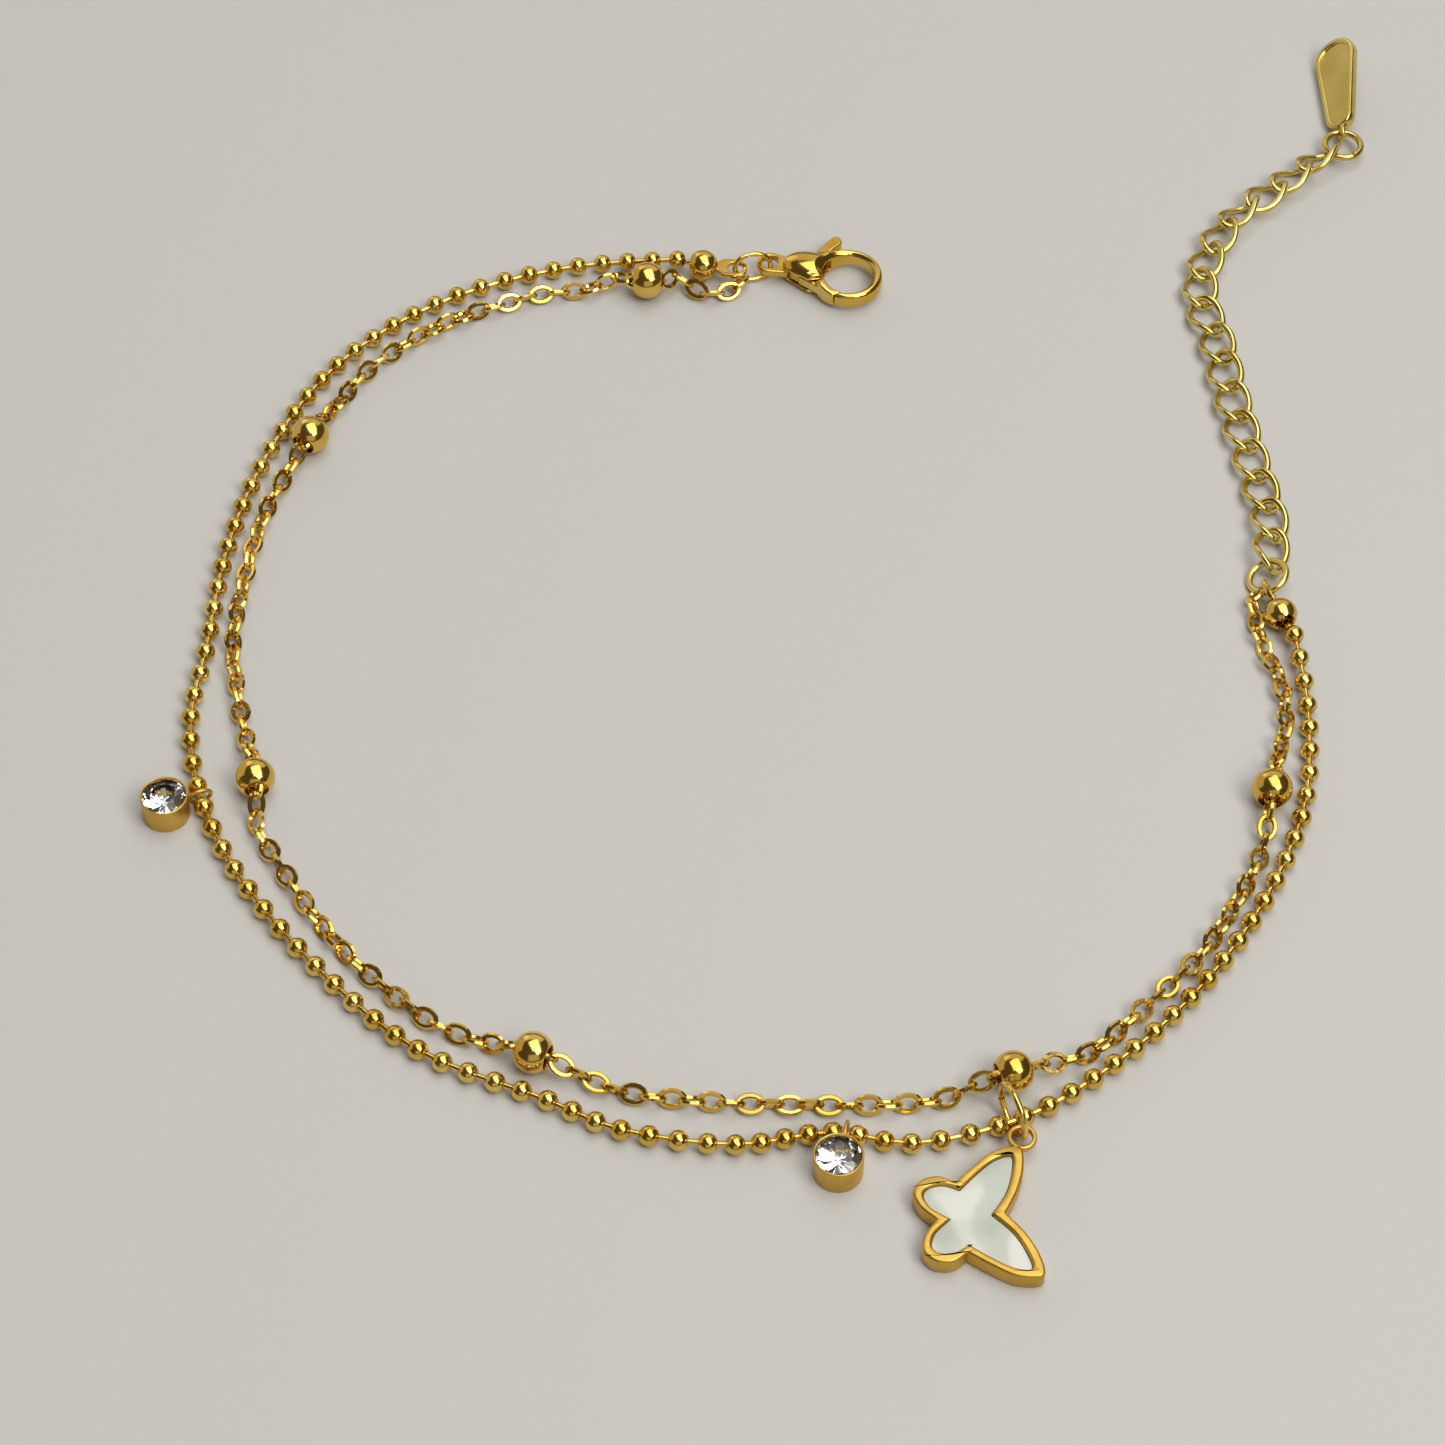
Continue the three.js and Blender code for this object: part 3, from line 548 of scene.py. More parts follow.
def metal(name, group, deep, bright, gloss, dull, cloud_scale=260, grain_scale=1500, relief=0.02):
    material, tree, shader = surface(name, Metallic=1.0)
    finish = tree.nodes.new("ShaderNodeGroup")
    finish.node_tree = group
    values = {
        "Deep": (*deep, 1), "Bright": (*bright, 1), "Cloud Scale": cloud_scale,
        "Gloss": gloss, "Dull": dull, "Grain Scale": grain_scale,
    }
    for socket, value in values.items():
        finish.inputs[socket].default_value = value
    bump = node(tree, "ShaderNodeBump", Strength=relief, Distance=0.00005)
    tree.links.new(finish.outputs["Color"], shader.inputs["Base Color"])
    tree.links.new(finish.outputs["Roughness"], shader.inputs["Roughness"])
    tree.links.new(finish.outputs["Grain"], bump.inputs["Height"])
    tree.links.new(bump.outputs["Normal"], shader.inputs["Normal"])
    return material


def clear_stone():
    """Clear cut glass with the faintest uneven polish."""
    material, tree, shader = surface(
        "clear_stone", Base_Color=(0.97, 0.985, 1, 1), IOR=1.58, Transmission_Weight=1.0)
    place = tree.nodes.new("ShaderNodeTexCoord")
    haze = node(tree, "ShaderNodeTexNoise", Scale=900.0, Detail=2.0)
    gloss = node(tree, "ShaderNodeMapRange", To_Min=0.0, To_Max=0.03)
    tree.links.new(place.outputs["Object"], haze.inputs["Vector"])
    tree.links.new(haze.outputs["Fac"], gloss.inputs["Value"])
    tree.links.new(gloss.outputs["Result"], shader.inputs["Roughness"])
    return material


def pearl_shell():
    """Mother of pearl: pale bands that shift between grey green, cream and white."""
    material, tree, shader = surface("pearl_shell", Coat_Weight=0.6, Coat_Roughness=0.12)
    place = tree.nodes.new("ShaderNodeTexCoord")
    drift = node(tree, "ShaderNodeTexNoise", Scale=140.0, Detail=3.0, Distortion=0.6)
    bands = node(tree, "ShaderNodeTexWave", Scale=70.0, Distortion=9.0, Detail=2.0, Detail_Scale=1.2)
    mix = node(tree, "ShaderNodeMath", operation="MULTIPLY_ADD")
    mix.inputs[1].default_value = PEARL_BANDS
    tints = tree.nodes.new("ShaderNodeValToRGB")
    while len(tints.color_ramp.elements) < len(PEARL_TINTS):
        tints.color_ramp.elements.new(0.5)
    for element, (position, colour) in zip(tints.color_ramp.elements, PEARL_TINTS):
        element.position = position
        element.color = (*colour, 1)
    gloss = node(tree, "ShaderNodeMapRange", To_Min=0.18, To_Max=0.42)
    bump = node(tree, "ShaderNodeBump", Strength=0.08, Distance=0.0001)
    tree.links.new(place.outputs["Object"], drift.inputs["Vector"])
    tree.links.new(place.outputs["Object"], bands.inputs["Vector"])
    tree.links.new(bands.outputs["Fac"], mix.inputs[0])
    tree.links.new(drift.outputs["Fac"], mix.inputs[2])
    tree.links.new(mix.outputs[0], tints.inputs["Fac"])
    tree.links.new(tints.outputs["Color"], shader.inputs["Base Color"])
    tree.links.new(drift.outputs["Fac"], gloss.inputs["Value"])
    tree.links.new(gloss.outputs["Result"], shader.inputs["Roughness"])
    tree.links.new(bands.outputs["Fac"], bump.inputs["Height"])
    tree.links.new(bump.outputs["Normal"], shader.inputs["Normal"])
    return material


polish = polish_group()
GOLD = metal(
    "polished_gold", polish, deep=(0.70, 0.44, 0.06), bright=(0.86, 0.63, 0.19),
    gloss=0.08, dull=0.20, relief=0.25)
PALE_GOLD = metal(
    "pale_gold", polish, deep=(0.66, 0.51, 0.13), bright=(0.82, 0.66, 0.24),
    gloss=0.12, dull=0.26, relief=0.15)
SATIN_GOLD = metal(
    "satin_gold", polish, deep=(0.60, 0.355, 0.06), bright=(0.72, 0.47, 0.10),
    gloss=0.30, dull=0.46, cloud_scale=420, grain_scale=5200, relief=0.08)
FOIL = metal(
    "mirror_foil", polish, deep=(0.72, 0.74, 0.78), bright=(0.92, 0.93, 0.95),
    gloss=0.02, dull=0.08)
CLEAR = clear_stone()
PEARL = pearl_shell()


# Ball strand
def ball_model():
    """A ball with its holes along X, the metal turned in a little round each."""
    radius, dimple = BALL["radius"], BALL_DIMPLE
    bpy.ops.mesh.primitive_uv_sphere_add(
        segments=BALL["segments"], ring_count=BALL["rings"], radius=radius, rotation=(0, pi / 2, 0))
    ball = start("ball")
    for end in (1, -1):
        pick(ball, "FACE", lambda face: middle(face).x * end > radius * dimple["from_share"])
        bpy.ops.mesh.extrude_region_move(TRANSFORM_OT_translate={"value": (-end * dimple["depth"], 0, 0)})
        bpy.ops.transform.resize(value=dimple["shrink"])
    weld(ball)
    return ball


def pin_model():
    """A short pin along X with a small collar inside each ball."""
    bpy.ops.mesh.primitive_cylinder_add(
        vertices=PIN["sides"], radius=PIN["radius"], depth=PIN["length"], rotation=(0, pi / 2, 0))
    pin = start("pin")
    for end in (1, -1):
        pick(pin, "FACE", lambda face: face.normal.x * end > FACING)
        bpy.ops.mesh.extrude_region_move(TRANSFORM_OT_translate={"value": (end * PIN["collar"], 0, 0)})
        bpy.ops.transform.resize(value=PIN["spread"])
    only(pin)
    return pin


def ball_strand():
    ball = ball_model()
    pin = pin_model()
    parts = []
    for i in range(BALL["last"] + 1):
        parts.append(lay(copy_of(ball, "strand"), strand_at(i), strand_ahead(i), BALL["roll_step"] * i))
    for i in range(BALL["last"]):
        a, b = strand_at(i), strand_at(i + 1)
        parts.append(lay(copy_of(pin, "strand"), (a + b) / 2, b - a))
    bpy.data.objects.remove(ball)
    bpy.data.objects.remove(pin)
    dress(join(parts, "ball_strand"), GOLD, "gold", "ball_chain", crease=50)


# Cable chain and its beads
def cable_points():
    """The cable's places, lifted where they come near a bead."""
    lead, settle = CABLE_LINK["lead"], CABLE_LINK["settle"]
    lying, lifted = CABLE_LINK["rest"], BEAD["radius"]
    flat = []
    for i, run in enumerate(CABLE_RUNS):
        flat += [Vector(point) for point in run]
        if i < len(BEADS):
            centre = Vector(BEADS[i])
            step = bead_ahead(i).to_2d() * lead
            flat += [centre - step, centre, centre + step]
    points = []
    for point in flat:
        nearest = min((point - Vector(bead)).length for bead in BEADS)
        fall = ease((nearest - lead) / (settle - lead))
        points.append(Vector((*point, lifted + (lying - lifted) * fall)))
    return points


def cable_links():
    """Oval links with six-sided wire, each turned a quarter from the one before."""
    spec = CABLE_LINK
    link = wire_ring("link", spec["half_length"], spec["half_width"], spec["wire"], around=16, sides=6)
    route = smooth_route(cable_points())
    length = route[1][-1]
    count = round(length / spec["pitch"])
    parts = []
    for i in range(count + 1):
        point, ahead = along(route, length * i / count)
        lean = CABLE_ROLL["middle"] + CABLE_ROLL["swing"] * sin(2 * pi * i / CABLE_ROLL["wave"])
        roll = lean + 90 * (i % 2)
        parts.append(rest(lay(copy_of(link, "cable"), point, ahead, roll)))
    bpy.data.objects.remove(link)
    dress(join(parts, "cable_links"), GOLD, "gold", "cable_chain", crease=35)


def drilled_beads():
    bpy.ops.mesh.primitive_uv_sphere_add(
        segments=40, ring_count=20, radius=BEAD["radius"], rotation=(0, pi / 2, 0))
    bead = start("bead")
    pick(bead, "FACE", lambda face: abs(middle(face).x) > BEAD["mouth"])
    bpy.ops.mesh.delete(type="FACE")
    pick(bead, "EDGE", lambda edge: edge.is_boundary)
    bpy.ops.mesh.bridge_edge_loops()

    def round_mouth(edge):
        first, last = (vertex.co.x for vertex in edge.verts)
        return round(first, 3) == round(last, 3) and abs(first) > BEAD["mouth"] - BEAD["mouth_band"]

    pick(bead, "EDGE", round_mouth)
    bpy.ops.mesh.bevel(offset=BEAD["edge"], segments=3, affect="EDGES")
    weld(bead)
    for i, (x, y) in enumerate(BEADS):
        twin = lay(copy_of(bead, f"drilled_bead_{i + 1}"), (x, y, BEAD["radius"]), bead_ahead(i))
        dress(twin, GOLD, "gold", f"station_bead_{i + 1}", crease=50)
    bpy.data.objects.remove(bead)


# End cups
def cup_model(name, turn):
    """A hollow ball, open behind for the strand, with a flat tab and its eye ahead."""
    outer = CUP["outer"]
    bpy.ops.mesh.primitive_uv_sphere_add(segments=40, ring_count=24, radius=outer, rotation=(0, pi / 2, 0))
    cup = start(name)
    mouth = -outer * cos(asin(CUP["mouth"] / outer))
    pick(cup, "FACE", lambda face: middle(face).x < mouth)
    bpy.ops.mesh.delete(type="FACE")
    work(cup, "SOLIDIFY", thickness=CUP["wall"], offset=-1)
    edge = TAB["edge"]
    root = TAB["root"] + TAB["half_width"]
    outline = teardrop(root, 0, TAB["half_width"] - edge, TAB["reach"], 0, TAB["eye_outer"] - edge)
    hole = circle(TAB["reach"], 0, TAB["eye_hole"] + edge)
    tab = plate("tab", (outline, hole), -TAB["thickness"] / 2, TAB["thickness"] / 2, edge)
    tab.data.transform(Matrix.Rotation(radians(turn), 4, "X"))
    return fuse(cup, tab)


def end_cups():
    first, last = strand_at(0), strand_at(BALL["last"])
    cup = lay(cup_model("strand_cup_1", 0), first, CUP_1_AHEAD)
    dress(cup, GOLD, "gold", "ball_end_cup_1")
    ring = EXTENDER_RING
    toward = Vector((ring["x"], ring["y"] - ring["radius"], ring["z"])) - last
    cup = lay(cup_model("strand_cup_2", CUP_2_TURN), last, toward)
    dress(cup, GOLD, "gold", "ball_end_cup_2")


# Rings
def clasp_ring():
    spec = CLASP_RING
    tab_eye = strand_at(0) + Vector(CUP_1_AHEAD).normalized() * TAB["reach"]
    clasp_eye = Vector((CLASP["x"], CLASP["y"], CLASP["z"]))
    ring = wire_ring("oval_ring", spec["half_length"], spec["half_width"], spec["wire"], cut_at=spec["cut"])
    lay(ring, (tab_eye + clasp_eye) / 2, clasp_eye - tab_eye, spec["roll"])
    dress(ring, GOLD, "gold", "clasp_ring")


def extender_ring():
    spec = EXTENDER_RING
    ring = wire_ring("extender_jump_ring", spec["radius"], spec["radius"], spec["wire"], cut_at=spec["cut"])
    lay(ring, (spec["x"], spec["y"], spec["z"]), heading(90), spec["tilt"])
    dress(ring, PALE_GOLD, "pale_gold", "extender_ring")


def charm_ring():
    spec = CHARM_RING
    outward = strand_outward(spec["between"])
    point = strand_at(spec["between"]) + outward * spec["shift"]
    point.z = spec["z"]
    ring = wire_ring("butterfly_jump_ring", spec["radius"], spec["radius"], spec["wire"], cut_at=spec["cut"])
    rest(lay(ring, point, outward, spec["roll"]))
    dress(ring, GOLD, "gold", "butterfly_ring")


# Extender and tag
def curb_links():
    """Twisted links, each at its own roll; the last one's place and way ahead lead to the tag ring."""
    spec = CURB_LINK
    link = wire_ring("link", spec["half_length"], spec["half_width"], spec["drawn_wire"], around=40, sides=12)
    work(link, "SIMPLE_DEFORM", deform_method="TWIST", deform_axis="X", angle=radians(2 * spec["twist"]))
    route = smooth_route([Vector((x, y, 0)) for x, y in EXTENDER_ROUTE])
    for i, roll in enumerate(CURB_ROLLS):
        solid = f"extender_link_{i + 1:02d}"
        low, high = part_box(solid)
        point, ahead = along(route, i * spec["pitch"])
        point.z = (low[2] + high[2]) / 2 / MM
        twin = rest(lay(copy_of(link, f"curb_link_{i + 1:02d}"), point, ahead, roll))
        dress(twin, PALE_GOLD, "pale_gold", solid)
    bpy.data.objects.remove(link)
    return point, ahead


def tag_ring(last_link, ahead):
    spec = TAG_RING
    seat = CURB_LINK["wire"] + spec["wire"] + CURB_LINK["play"]
    centre = last_link + ahead * (CURB_LINK["half_length"] - seat + spec["radius"])
    centre.z = spec["z"]
    ring = wire_ring("tag_jump_ring", spec["radius"], spec["radius"], spec["wire"], cut_at=spec["cut"])
    lay(ring, centre, (1, 0, 0))
    dress(ring, PALE_GOLD, "pale_gold", "tag_ring")
    return centre


def tag(ring_centre):
    """A bare plate with a raised rim on both sides, leaning behind its upright eye."""
    begin = TAG_EYE["radius"] - TAG_EYE["overlap"]
    near_x, far_x = begin + TAG["near"] / 2, begin + TAG["length"] - TAG["far"] / 2
    half, edge, rim = TAG["thickness"] / 2, TAG["edge"], TAG["rim"]

    def outline(inset):
        return teardrop(near_x, 0, TAG["near"] / 2 - inset, far_x, 0, TAG["far"] / 2 - inset)

    blade = plate("bare_tag", (outline(edge), outline(rim - edge)), -half, half, edge)
    web = plate("web", (outline(TAG["web_inset"]),), TAG["recess"] - half, half - TAG["recess"])
    fuse(blade, web)
    pitched = Matrix.Rotation(radians(TAG_LIE["pitch"]), 4, "Y")
    leaning = Matrix.Rotation(radians(TAG_LIE["lean"]), 4, "X")
    blade.data.transform(pitched @ leaning)
    eye = wire_ring("eye", TAG_EYE["radius"], TAG_EYE["radius"], TAG_EYE["wire"], around=36)
    eye.data.transform(Matrix.Rotation(pi / 2, 4, "X"))
    fuse(blade, eye)
    weld(blade, 2 * NEAR)
    ahead = heading(TAG_LIE["heading"])
    seat = TAG_EYE["wire"] + TAG_RING["wire"] + CURB_LINK["play"]
    lay(blade, ring_centre + ahead * (TAG_RING["radius"] + TAG_EYE["radius"] - seat), ahead)
    dress(blade, PALE_GOLD, "pale_gold", "tag")


# Clasp
def seam_point(run, shift=0.0):
    angle = radians(SEAM["angle"])
    return SEAM["x"] + run * cos(angle) - shift, SEAM["y"] + run * sin(angle)


def seam_turn(radius, shift):
    """The angle round the bow's middle at which the slanted seam crosses a radius, below the bow."""
    runs = [SEAM["low"] + SEAM["step"] * i for i in range(SEAM["steps"])]
    points = [seam_point(run, shift) for run in runs]
    inside = next(p for p in points if hypot(p[0] - BOW["x"], p[1] - BOW["y"]) <= radius)
    return degrees(atan2(inside[1] - BOW["y"], inside[0] - BOW["x"])) % 360


def bow_point(turn, radius):
    return BOW["x"] + radius * cos(radians(turn)), BOW["y"] + radius * sin(radians(turn))


def soften(piece, voxel, rounds):
    """Gives a cast piece its slimmer bow and its soft edges, and lays it in the frame."""
    for vertex in piece.data.vertices:
        share = (vertex.co.x - BOW["first"]) / (BOW["last"] - BOW["first"])
        vertex.co.z *= 1 - BOW["taper"] * ease(share)
    work(piece, "REMESH", mode="VOXEL", voxel_size=voxel)
    work(piece, "SMOOTH", factor=0.5, iterations=rounds)
    work(piece, "DECIMATE", ratio=0.5)
    return lay(piece, (CLASP["x"], CLASP["y"], CLASP["z"]), heading(CLASP["heading"]))


def bow_flare(side):
    """The cutter that rounds the bow's inner edge over, above or below."""
    inner, flare = BOW["inner"], BOW["flare"]
    low, high = flare / 2, 2 * flare
    # Its corners stand apart from those of the bow's hole, so that the two cuts share no edge
    bpy.ops.mesh.primitive_cone_add(
        vertices=90, radius1=inner - low, radius2=inner + flare, depth=high - low,
        location=(0, 0, (low + high) / 2))
    cutter = start("cutter")
    if side < 0:
        cutter.data.transform(Matrix.Rotation(pi, 4, "X"))
    cutter.data.transform(Matrix.Translation((BOW["x"], BOW["y"], 0)))
    return cutter


def clasp_body():
    """A domed teardrop with a round bow, a thin eye, and a slot that the gate's lever swings in."""
    half, edge, reach, eye, tip = CLASP["half"], CLASP["edge"], SLOT["reach"], CLASP_EYE, CLASP_TIP
    drop = teardrop(tip["x"], tip["y"], tip["radius"] - edge, BOW["x"], BOW["y"], BOW["outer"] - edge, 32)
    body = plate("clasp_casting", (drop,), -half, half, edge)
    neck = teardrop(0, 0, eye["outer"] - eye["edge"], tip["x"], tip["y"], tip["radius"] - eye["edge"])
    hole = circle(0, 0, eye["hole"] + eye["edge"])
    bpy.ops.mesh.primitive_uv_sphere_add(segments=48, ring_count=28, radius=1)
    pillow = start("pillow")
    pillow.data.transform(Matrix.LocRotScale((PILLOW["x"], PILLOW["y"], PILLOW["z"]), None, PILLOW["radii"]))
    fuse(body, plate("neck", (neck, hole), -eye["half"], eye["half"], eye["edge"]), pillow)
    slot = (
        (SLOT["wall"], -reach), seam_point(SEAM["low"]), seam_point(SEAM["high"]),
        (SLOT["end"], SLOT["corner"]), (SLOT["end"], reach), (SLOT["wall"], reach),
    )
    gateway = (
        bow_point(GATE["body_cut"], GATE["cut_from"]), bow_point(GATE["body_cut"], reach),
        seam_point(SEAM["low"]), seam_point(SEAM["high"]),
    )
    carve(
        body,
        plate("cutter", (circle(BOW["x"], BOW["y"], BOW["inner"], 96),), -CUTTER["half"], CUTTER["half"]),
        bow_flare(1),
        bow_flare(-1),
        plate("cutter", (slot,), -SLOT["half"], SLOT["half"]),
        plate("cutter", (gateway,), -CUTTER["half"], CUTTER["half"]),
    )
    pin_end = half - LEVER["pin_sink"]
    fuse(body, plate("pin", (circle(LEVER["x"], LEVER["y"], LEVER["pin"]),), -pin_end, pin_end))
    dress(soften(body, **CAST_BODY), GOLD, "gold", "clasp_body", crease=60)


def clasp_gate():
    """The lever: gate, arm, back and thumb nub in one cast piece round the pin."""
    half, edge = LEVER["half"], LEVER["edge"]
    inner, outer = BOW["inner"] + GATE["edge"], BOW["outer"] - GATE["edge"]
    gap = SEAM["gap"] + GATE["edge"]
    first = GATE["start"] + degrees(GATE["edge"] / BOW["outer"])
    gate = arc(BOW["x"], BOW["y"], inner, first, seam_turn(inner, gap))
    gate += arc(BOW["x"], BOW["y"], outer, seam_turn(outer, gap), first)
    lever = plate("clasp_gate", (gate[::-1],), -GATE["half"], GATE["half"], GATE["edge"])
    gate_x, gate_y = bow_point(GATE["start"] + GATE["arm_turn"], (BOW["outer"] + BOW["inner"]) / 2)
    radius = LEVER_ARM["radius"] - edge
    arm_y = LEVER["y"] - LEVER["hole"] - LEVER_ARM["root"]
    arm = teardrop(LEVER["x"], arm_y, radius, gate_x, gate_y, radius + LEVER_ARM["spread"])
    nub_x, nub_y = LEVER["x"] + NUB["root"], LEVER["y"] + LEVER["hole"] + NUB["root"]
    nub = teardrop(nub_x, nub_y, radius, NUB["x"], NUB["y"], NUB["radius"] - edge)
    hole = circle(LEVER["x"], LEVER["y"], LEVER["hole"], 24)
    fuse(
        lever,
        plate("back", (LEVER_BACK, hole), -half, half),
        plate("arm", (arm,), -half, half, edge),
        plate("nub", (nub,), -half, half, edge),
    )
    dress(soften(lever, **CAST_GATE), GOLD, "gold", "clasp_lever", body="lever", crease=60)


# Crystal charms
def stone_cup_model():
    """A turned cup with a thin rim, a seat for the stone and a soldered ring."""
    spec = STONE_CUP
    top = spec["height"]
    bpy.ops.mesh.primitive_cylinder_add(
        vertices=64, radius=spec["outer"], depth=top, location=(spec["offset"], 0, top / 2))
    cup = start("stone_cup")
    pick(cup, "FACE", lambda face: face.normal.z > FACING)
    bpy.ops.mesh.inset(thickness=spec["rim"])
    bpy.ops.mesh.extrude_region_move(TRANSFORM_OT_translate={"value": (0, 0, spec["floor"] - top)})
    rims = (top, spec["outer"]), (top, spec["outer"] - spec["rim"]), (0, spec["outer"])
    axis = Vector((spec["offset"], 0))

    def on_circle(point, z, radius):
        return abs(point.z - z) < NEAR and abs((point.xy - axis).length - radius) < NEAR

    def on_rim(edge):
        return any(all(on_circle(vertex.co, *rim) for vertex in edge.verts) for rim in rims)

    pick(cup, "EDGE", on_rim)
    bpy.ops.mesh.bevel(offset=spec["edge"], segments=3, affect="EDGES")
    only(cup)
    eye = wire_ring("eye", STONE_EYE["half_length"], STONE_EYE["half_width"], STONE_EYE["wire"], around=40)
    eye.data.transform(Matrix.Translation((0, 0, STONE_EYE["z"])) @ Matrix.Rotation(pi / 2, 4, "X"))
    return fuse(cup, eye)


def cut_facet(stone, slope, turn, radius, height):
    """Grinds one facet: a plane at a slope and turn, through a point on its own meridian."""
    tilt = radians(slope)
    meridian = heading(turn)
    normal = meridian * sin(tilt) + UP * cos(tilt)
    pick(stone, "FACE", lambda face: True)
    bpy.ops.mesh.bisect(
        plane_co=meridian * radius + UP * height, plane_no=normal, use_fill=True, clear_outer=True)


def stone_model():
    """A round brilliant: table, stars, mains and girdle facets above, mains and halves below."""
    spec = STONE
    bpy.ops.mesh.primitive_cylinder_add(
        vertices=32, radius=spec["girdle"], depth=spec["top"] - spec["low"],
        location=(0, 0, (spec["top"] + spec["low"]) / 2))
    stone = start("stone")
    girdle, table, mains = spec["girdle"], spec["table"], spec["mains"]
    crown = degrees(atan2(spec["top"] - spec["girdle_high"], girdle - table))
    pavilion = 180 - degrees(atan2(spec["girdle_low"] - spec["low"], girdle))
    star_radius = table * cos(radians(180 / mains))
    cuts = (
        # slope, count, first turn in steps, radius, height
        (crown, mains, 0, girdle, spec["girdle_high"]),
        (crown + FACETS["upper_steeper"], 2 * mains, 0.5, girdle, spec["girdle_high"]),
        (crown - FACETS["star_flatter"], mains, 0.5, star_radius, spec["top"]),
        (pavilion, mains, 0, girdle, spec["girdle_low"]),
        (pavilion - FACETS["lower_steeper"], 2 * mains, 0.5, girdle, spec["girdle_low"]),
    )
    for slope, count, first, radius, height in cuts:
        for k in range(count):
            cut_facet(stone, slope, 360 * (k + first) / count, radius, height)
    weld(stone, NEAR)
    return stone


def foil_model():
    """The bright seat under the stone."""
    spec, low, high = STONE_SEAT, STONE["low"], STONE["girdle_low"]
    mouth = STONE_CUP["outer"] - STONE_CUP["rim"] - spec["play"]
    bpy.ops.mesh.primitive_cone_add(
        vertices=spec["sides"], radius1=spec["tip"], radius2=mouth,
        depth=high - low + spec["deeper"], end_fill_type="NOTHING",
        location=(0, 0, (high + low) / 2 - spec["drop"]))
    foil = start("foil")
    work(foil, "SOLIDIFY", thickness=spec["thickness"], offset=-1)
    return foil


def crystal_charms():
    cup, stone, foil = stone_cup_model(), stone_model(), foil_model()
    for piece in (stone, foil):
        piece.data.transform(Matrix.Translation((STONE_CUP["offset"], 0, 0)))
    for i, (between, turn) in enumerate(STONES):
        point = strand_at(between)
        point.z = 0
        holder = lay(copy_of(cup, f"stone_cup_{i + 1}"), point, heading(turn))
        dress(holder, SATIN_GOLD, "satin_gold", f"crystal_cup_{i + 1}")
        cut_stone = lay(copy_of(stone, f"cut_stone_{i + 1}"), point, heading(turn))
        dress(cut_stone, CLEAR, "crystal", f"crystal_{i + 1}", crease=1)
        seat = lay(copy_of(foil, f"stone_seat_{i + 1}"), point, heading(turn))
        dress(seat, FOIL, "crystal", crease=1)
    for model in (cup, stone, foil):
        bpy.data.objects.remove(model)


# Butterfly
def spline_through(points, steps=6):
    line = []
    for i in range(len(points) - 1):
        a, b = points[max(i - 1, 0)], points[i]
        c, d = points[i + 1], points[min(i + 2, len(points) - 1)]
        line += [tuple(curve_point(a, b, c, d, k / steps)) for k in range(steps)]
    return line


def wing_outline(column):
    """Fore and hind lobes on one side, then the same mirrored back."""
    def lobe(rows, side):
        return [Vector((row[column], side * row[column + 1])) for row in rows]
    lobes = (
        lobe(FOREWING, 1), lobe(HINDWING, 1),
        lobe(HINDWING[::-1], -1), lobe(FOREWING[::-1], -1),
    )
    return [point for points in lobes for point in spline_through(points)]


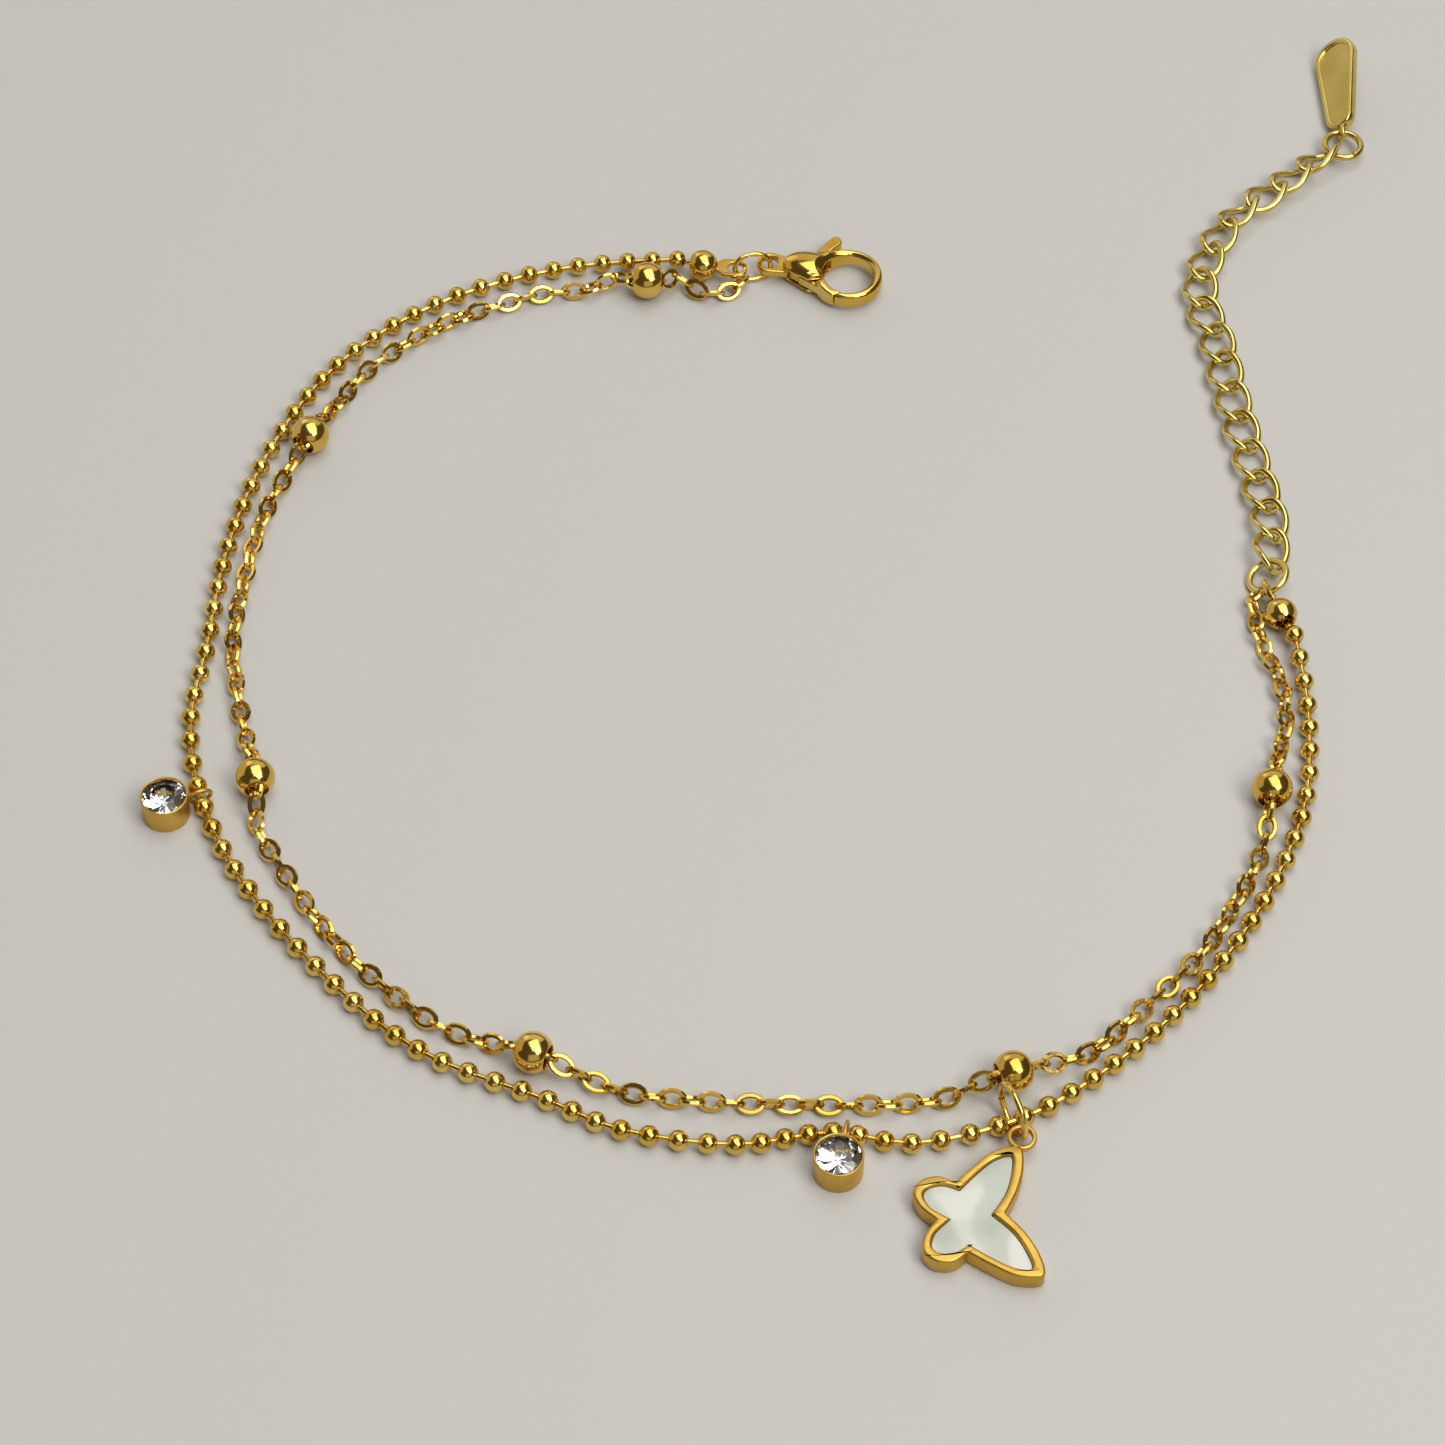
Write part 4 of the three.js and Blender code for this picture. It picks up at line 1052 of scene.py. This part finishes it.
def butterfly():
    spec, edge = BUTTERFLY, BUTTERFLY_EDGE
    rim, pocket = wing_outline(0), wing_outline(2)
    top = spec["thickness"]
    shape = plate("wing_frame", (shrink(rim, edge["rim"]),), 0, top, edge["rim"])
    carve(shape, plate("cutter", (pocket,), spec["floor"], top + CUTTER["over"]))

    def inner_lip(side):
        high = all(abs(vertex.co.z - top) < NEAR for vertex in side.verts)
        return high and any(abs(face.normal.z) < UPRIGHT for face in side.link_faces)

    pick(shape, "EDGE", inner_lip)
    bpy.ops.mesh.bevel(offset=edge["lip"], segments=3, affect="EDGES")
    weld(shape)
    eye_spec = WING_EYE
    eye = plate(
        "eye",
        (circle(eye_spec["x"], eye_spec["y"], eye_spec["outer"] - edge["eye"]),
         circle(eye_spec["x"], eye_spec["y"], eye_spec["hole"] + edge["eye"])),
        eye_spec["low"], eye_spec["high"], edge["eye"])
    fuse(shape, eye)
    inlay = plate(
        "pearl_wings", (shrink(pocket, edge["play"] + edge["inlay"]),),
        spec["inlay_low"], spec["inlay_top"], edge["inlay"])
    strand = strand_at(CHARM_RING["between"])
    outward = strand_outward(CHARM_RING["between"])
    turn = Matrix.Rotation(radians(spec["heading"]), 3, "Z")
    centre = strand + outward * spec["reach"] - turn @ Vector((eye_spec["x"], eye_spec["y"], 0))
    centre.z = 0
    lay(shape, centre, heading(spec["heading"]))
    lay(inlay, centre, heading(spec["heading"]))
    dress(shape, SATIN_GOLD, "satin_gold", "butterfly_frame", crease=50)
    dress(inlay, PEARL, "pearl", "butterfly_inlay")


# Table, light and camera
def table_top():
    material = surface("pale_table", Base_Color=(0.595, 0.588, 0.568, 1), Roughness=0.6)[0]
    bpy.ops.mesh.primitive_plane_add(size=4)
    floor = start("table_top")
    floor.data.materials.append(material)


def soft_light(name, place, size, power, colour):
    """A softbox that faces the middle of the anklet."""
    light = bpy.data.lights.new(name, "AREA")
    light.shape = "RECTANGLE"
    light.size, light.size_y = size
    light.energy = power
    light.color = colour
    lamp = bpy.data.objects.new(name, light)
    lamp.location = Vector(place) + SHIFT
    lamp.rotation_euler = (-Vector(place)).to_track_quat("-Z", "Y").to_euler()
    bpy.context.collection.objects.link(lamp)


def studio():
    world = bpy.data.worlds.new("studio")
    world.use_nodes = True
    background = world.node_tree.nodes["Background"]
    background.inputs["Color"].default_value = ROOM["colour"]
    background.inputs["Strength"].default_value = ROOM["strength"]
    bpy.context.scene.world = world
    for row in LIGHTS:
        soft_light(*row)
    bpy.context.scene.view_settings.view_transform = "Standard"


def photo_camera():
    reach = PHOTO_FOCAL / PHOTO_PIXELS_PER_MM * MM
    elevation = radians(PHOTO_ELEVATION)
    lens = bpy.data.cameras.new("camera")
    lens.sensor_width = SENSOR_WIDTH
    lens.lens = PHOTO_FOCAL / PHOTO_SIDE * SENSOR_WIDTH
    lens.clip_start = 0.01
    camera = bpy.data.objects.new("camera", lens)
    camera.location = SHIFT + Vector((0, -cos(elevation), sin(elevation))) * reach
    camera.rotation_euler = (pi / 2 - elevation, 0, 0)
    bpy.context.collection.objects.link(camera)
    bpy.context.scene.camera = camera


photo_camera()
table_top()
studio()
ball_strand()
cable_links()
drilled_beads()
end_cups()
clasp_ring()
extender_ring()
charm_ring()
tag(tag_ring(*curb_links()))
clasp_body()
clasp_gate()
crystal_charms()
butterfly()
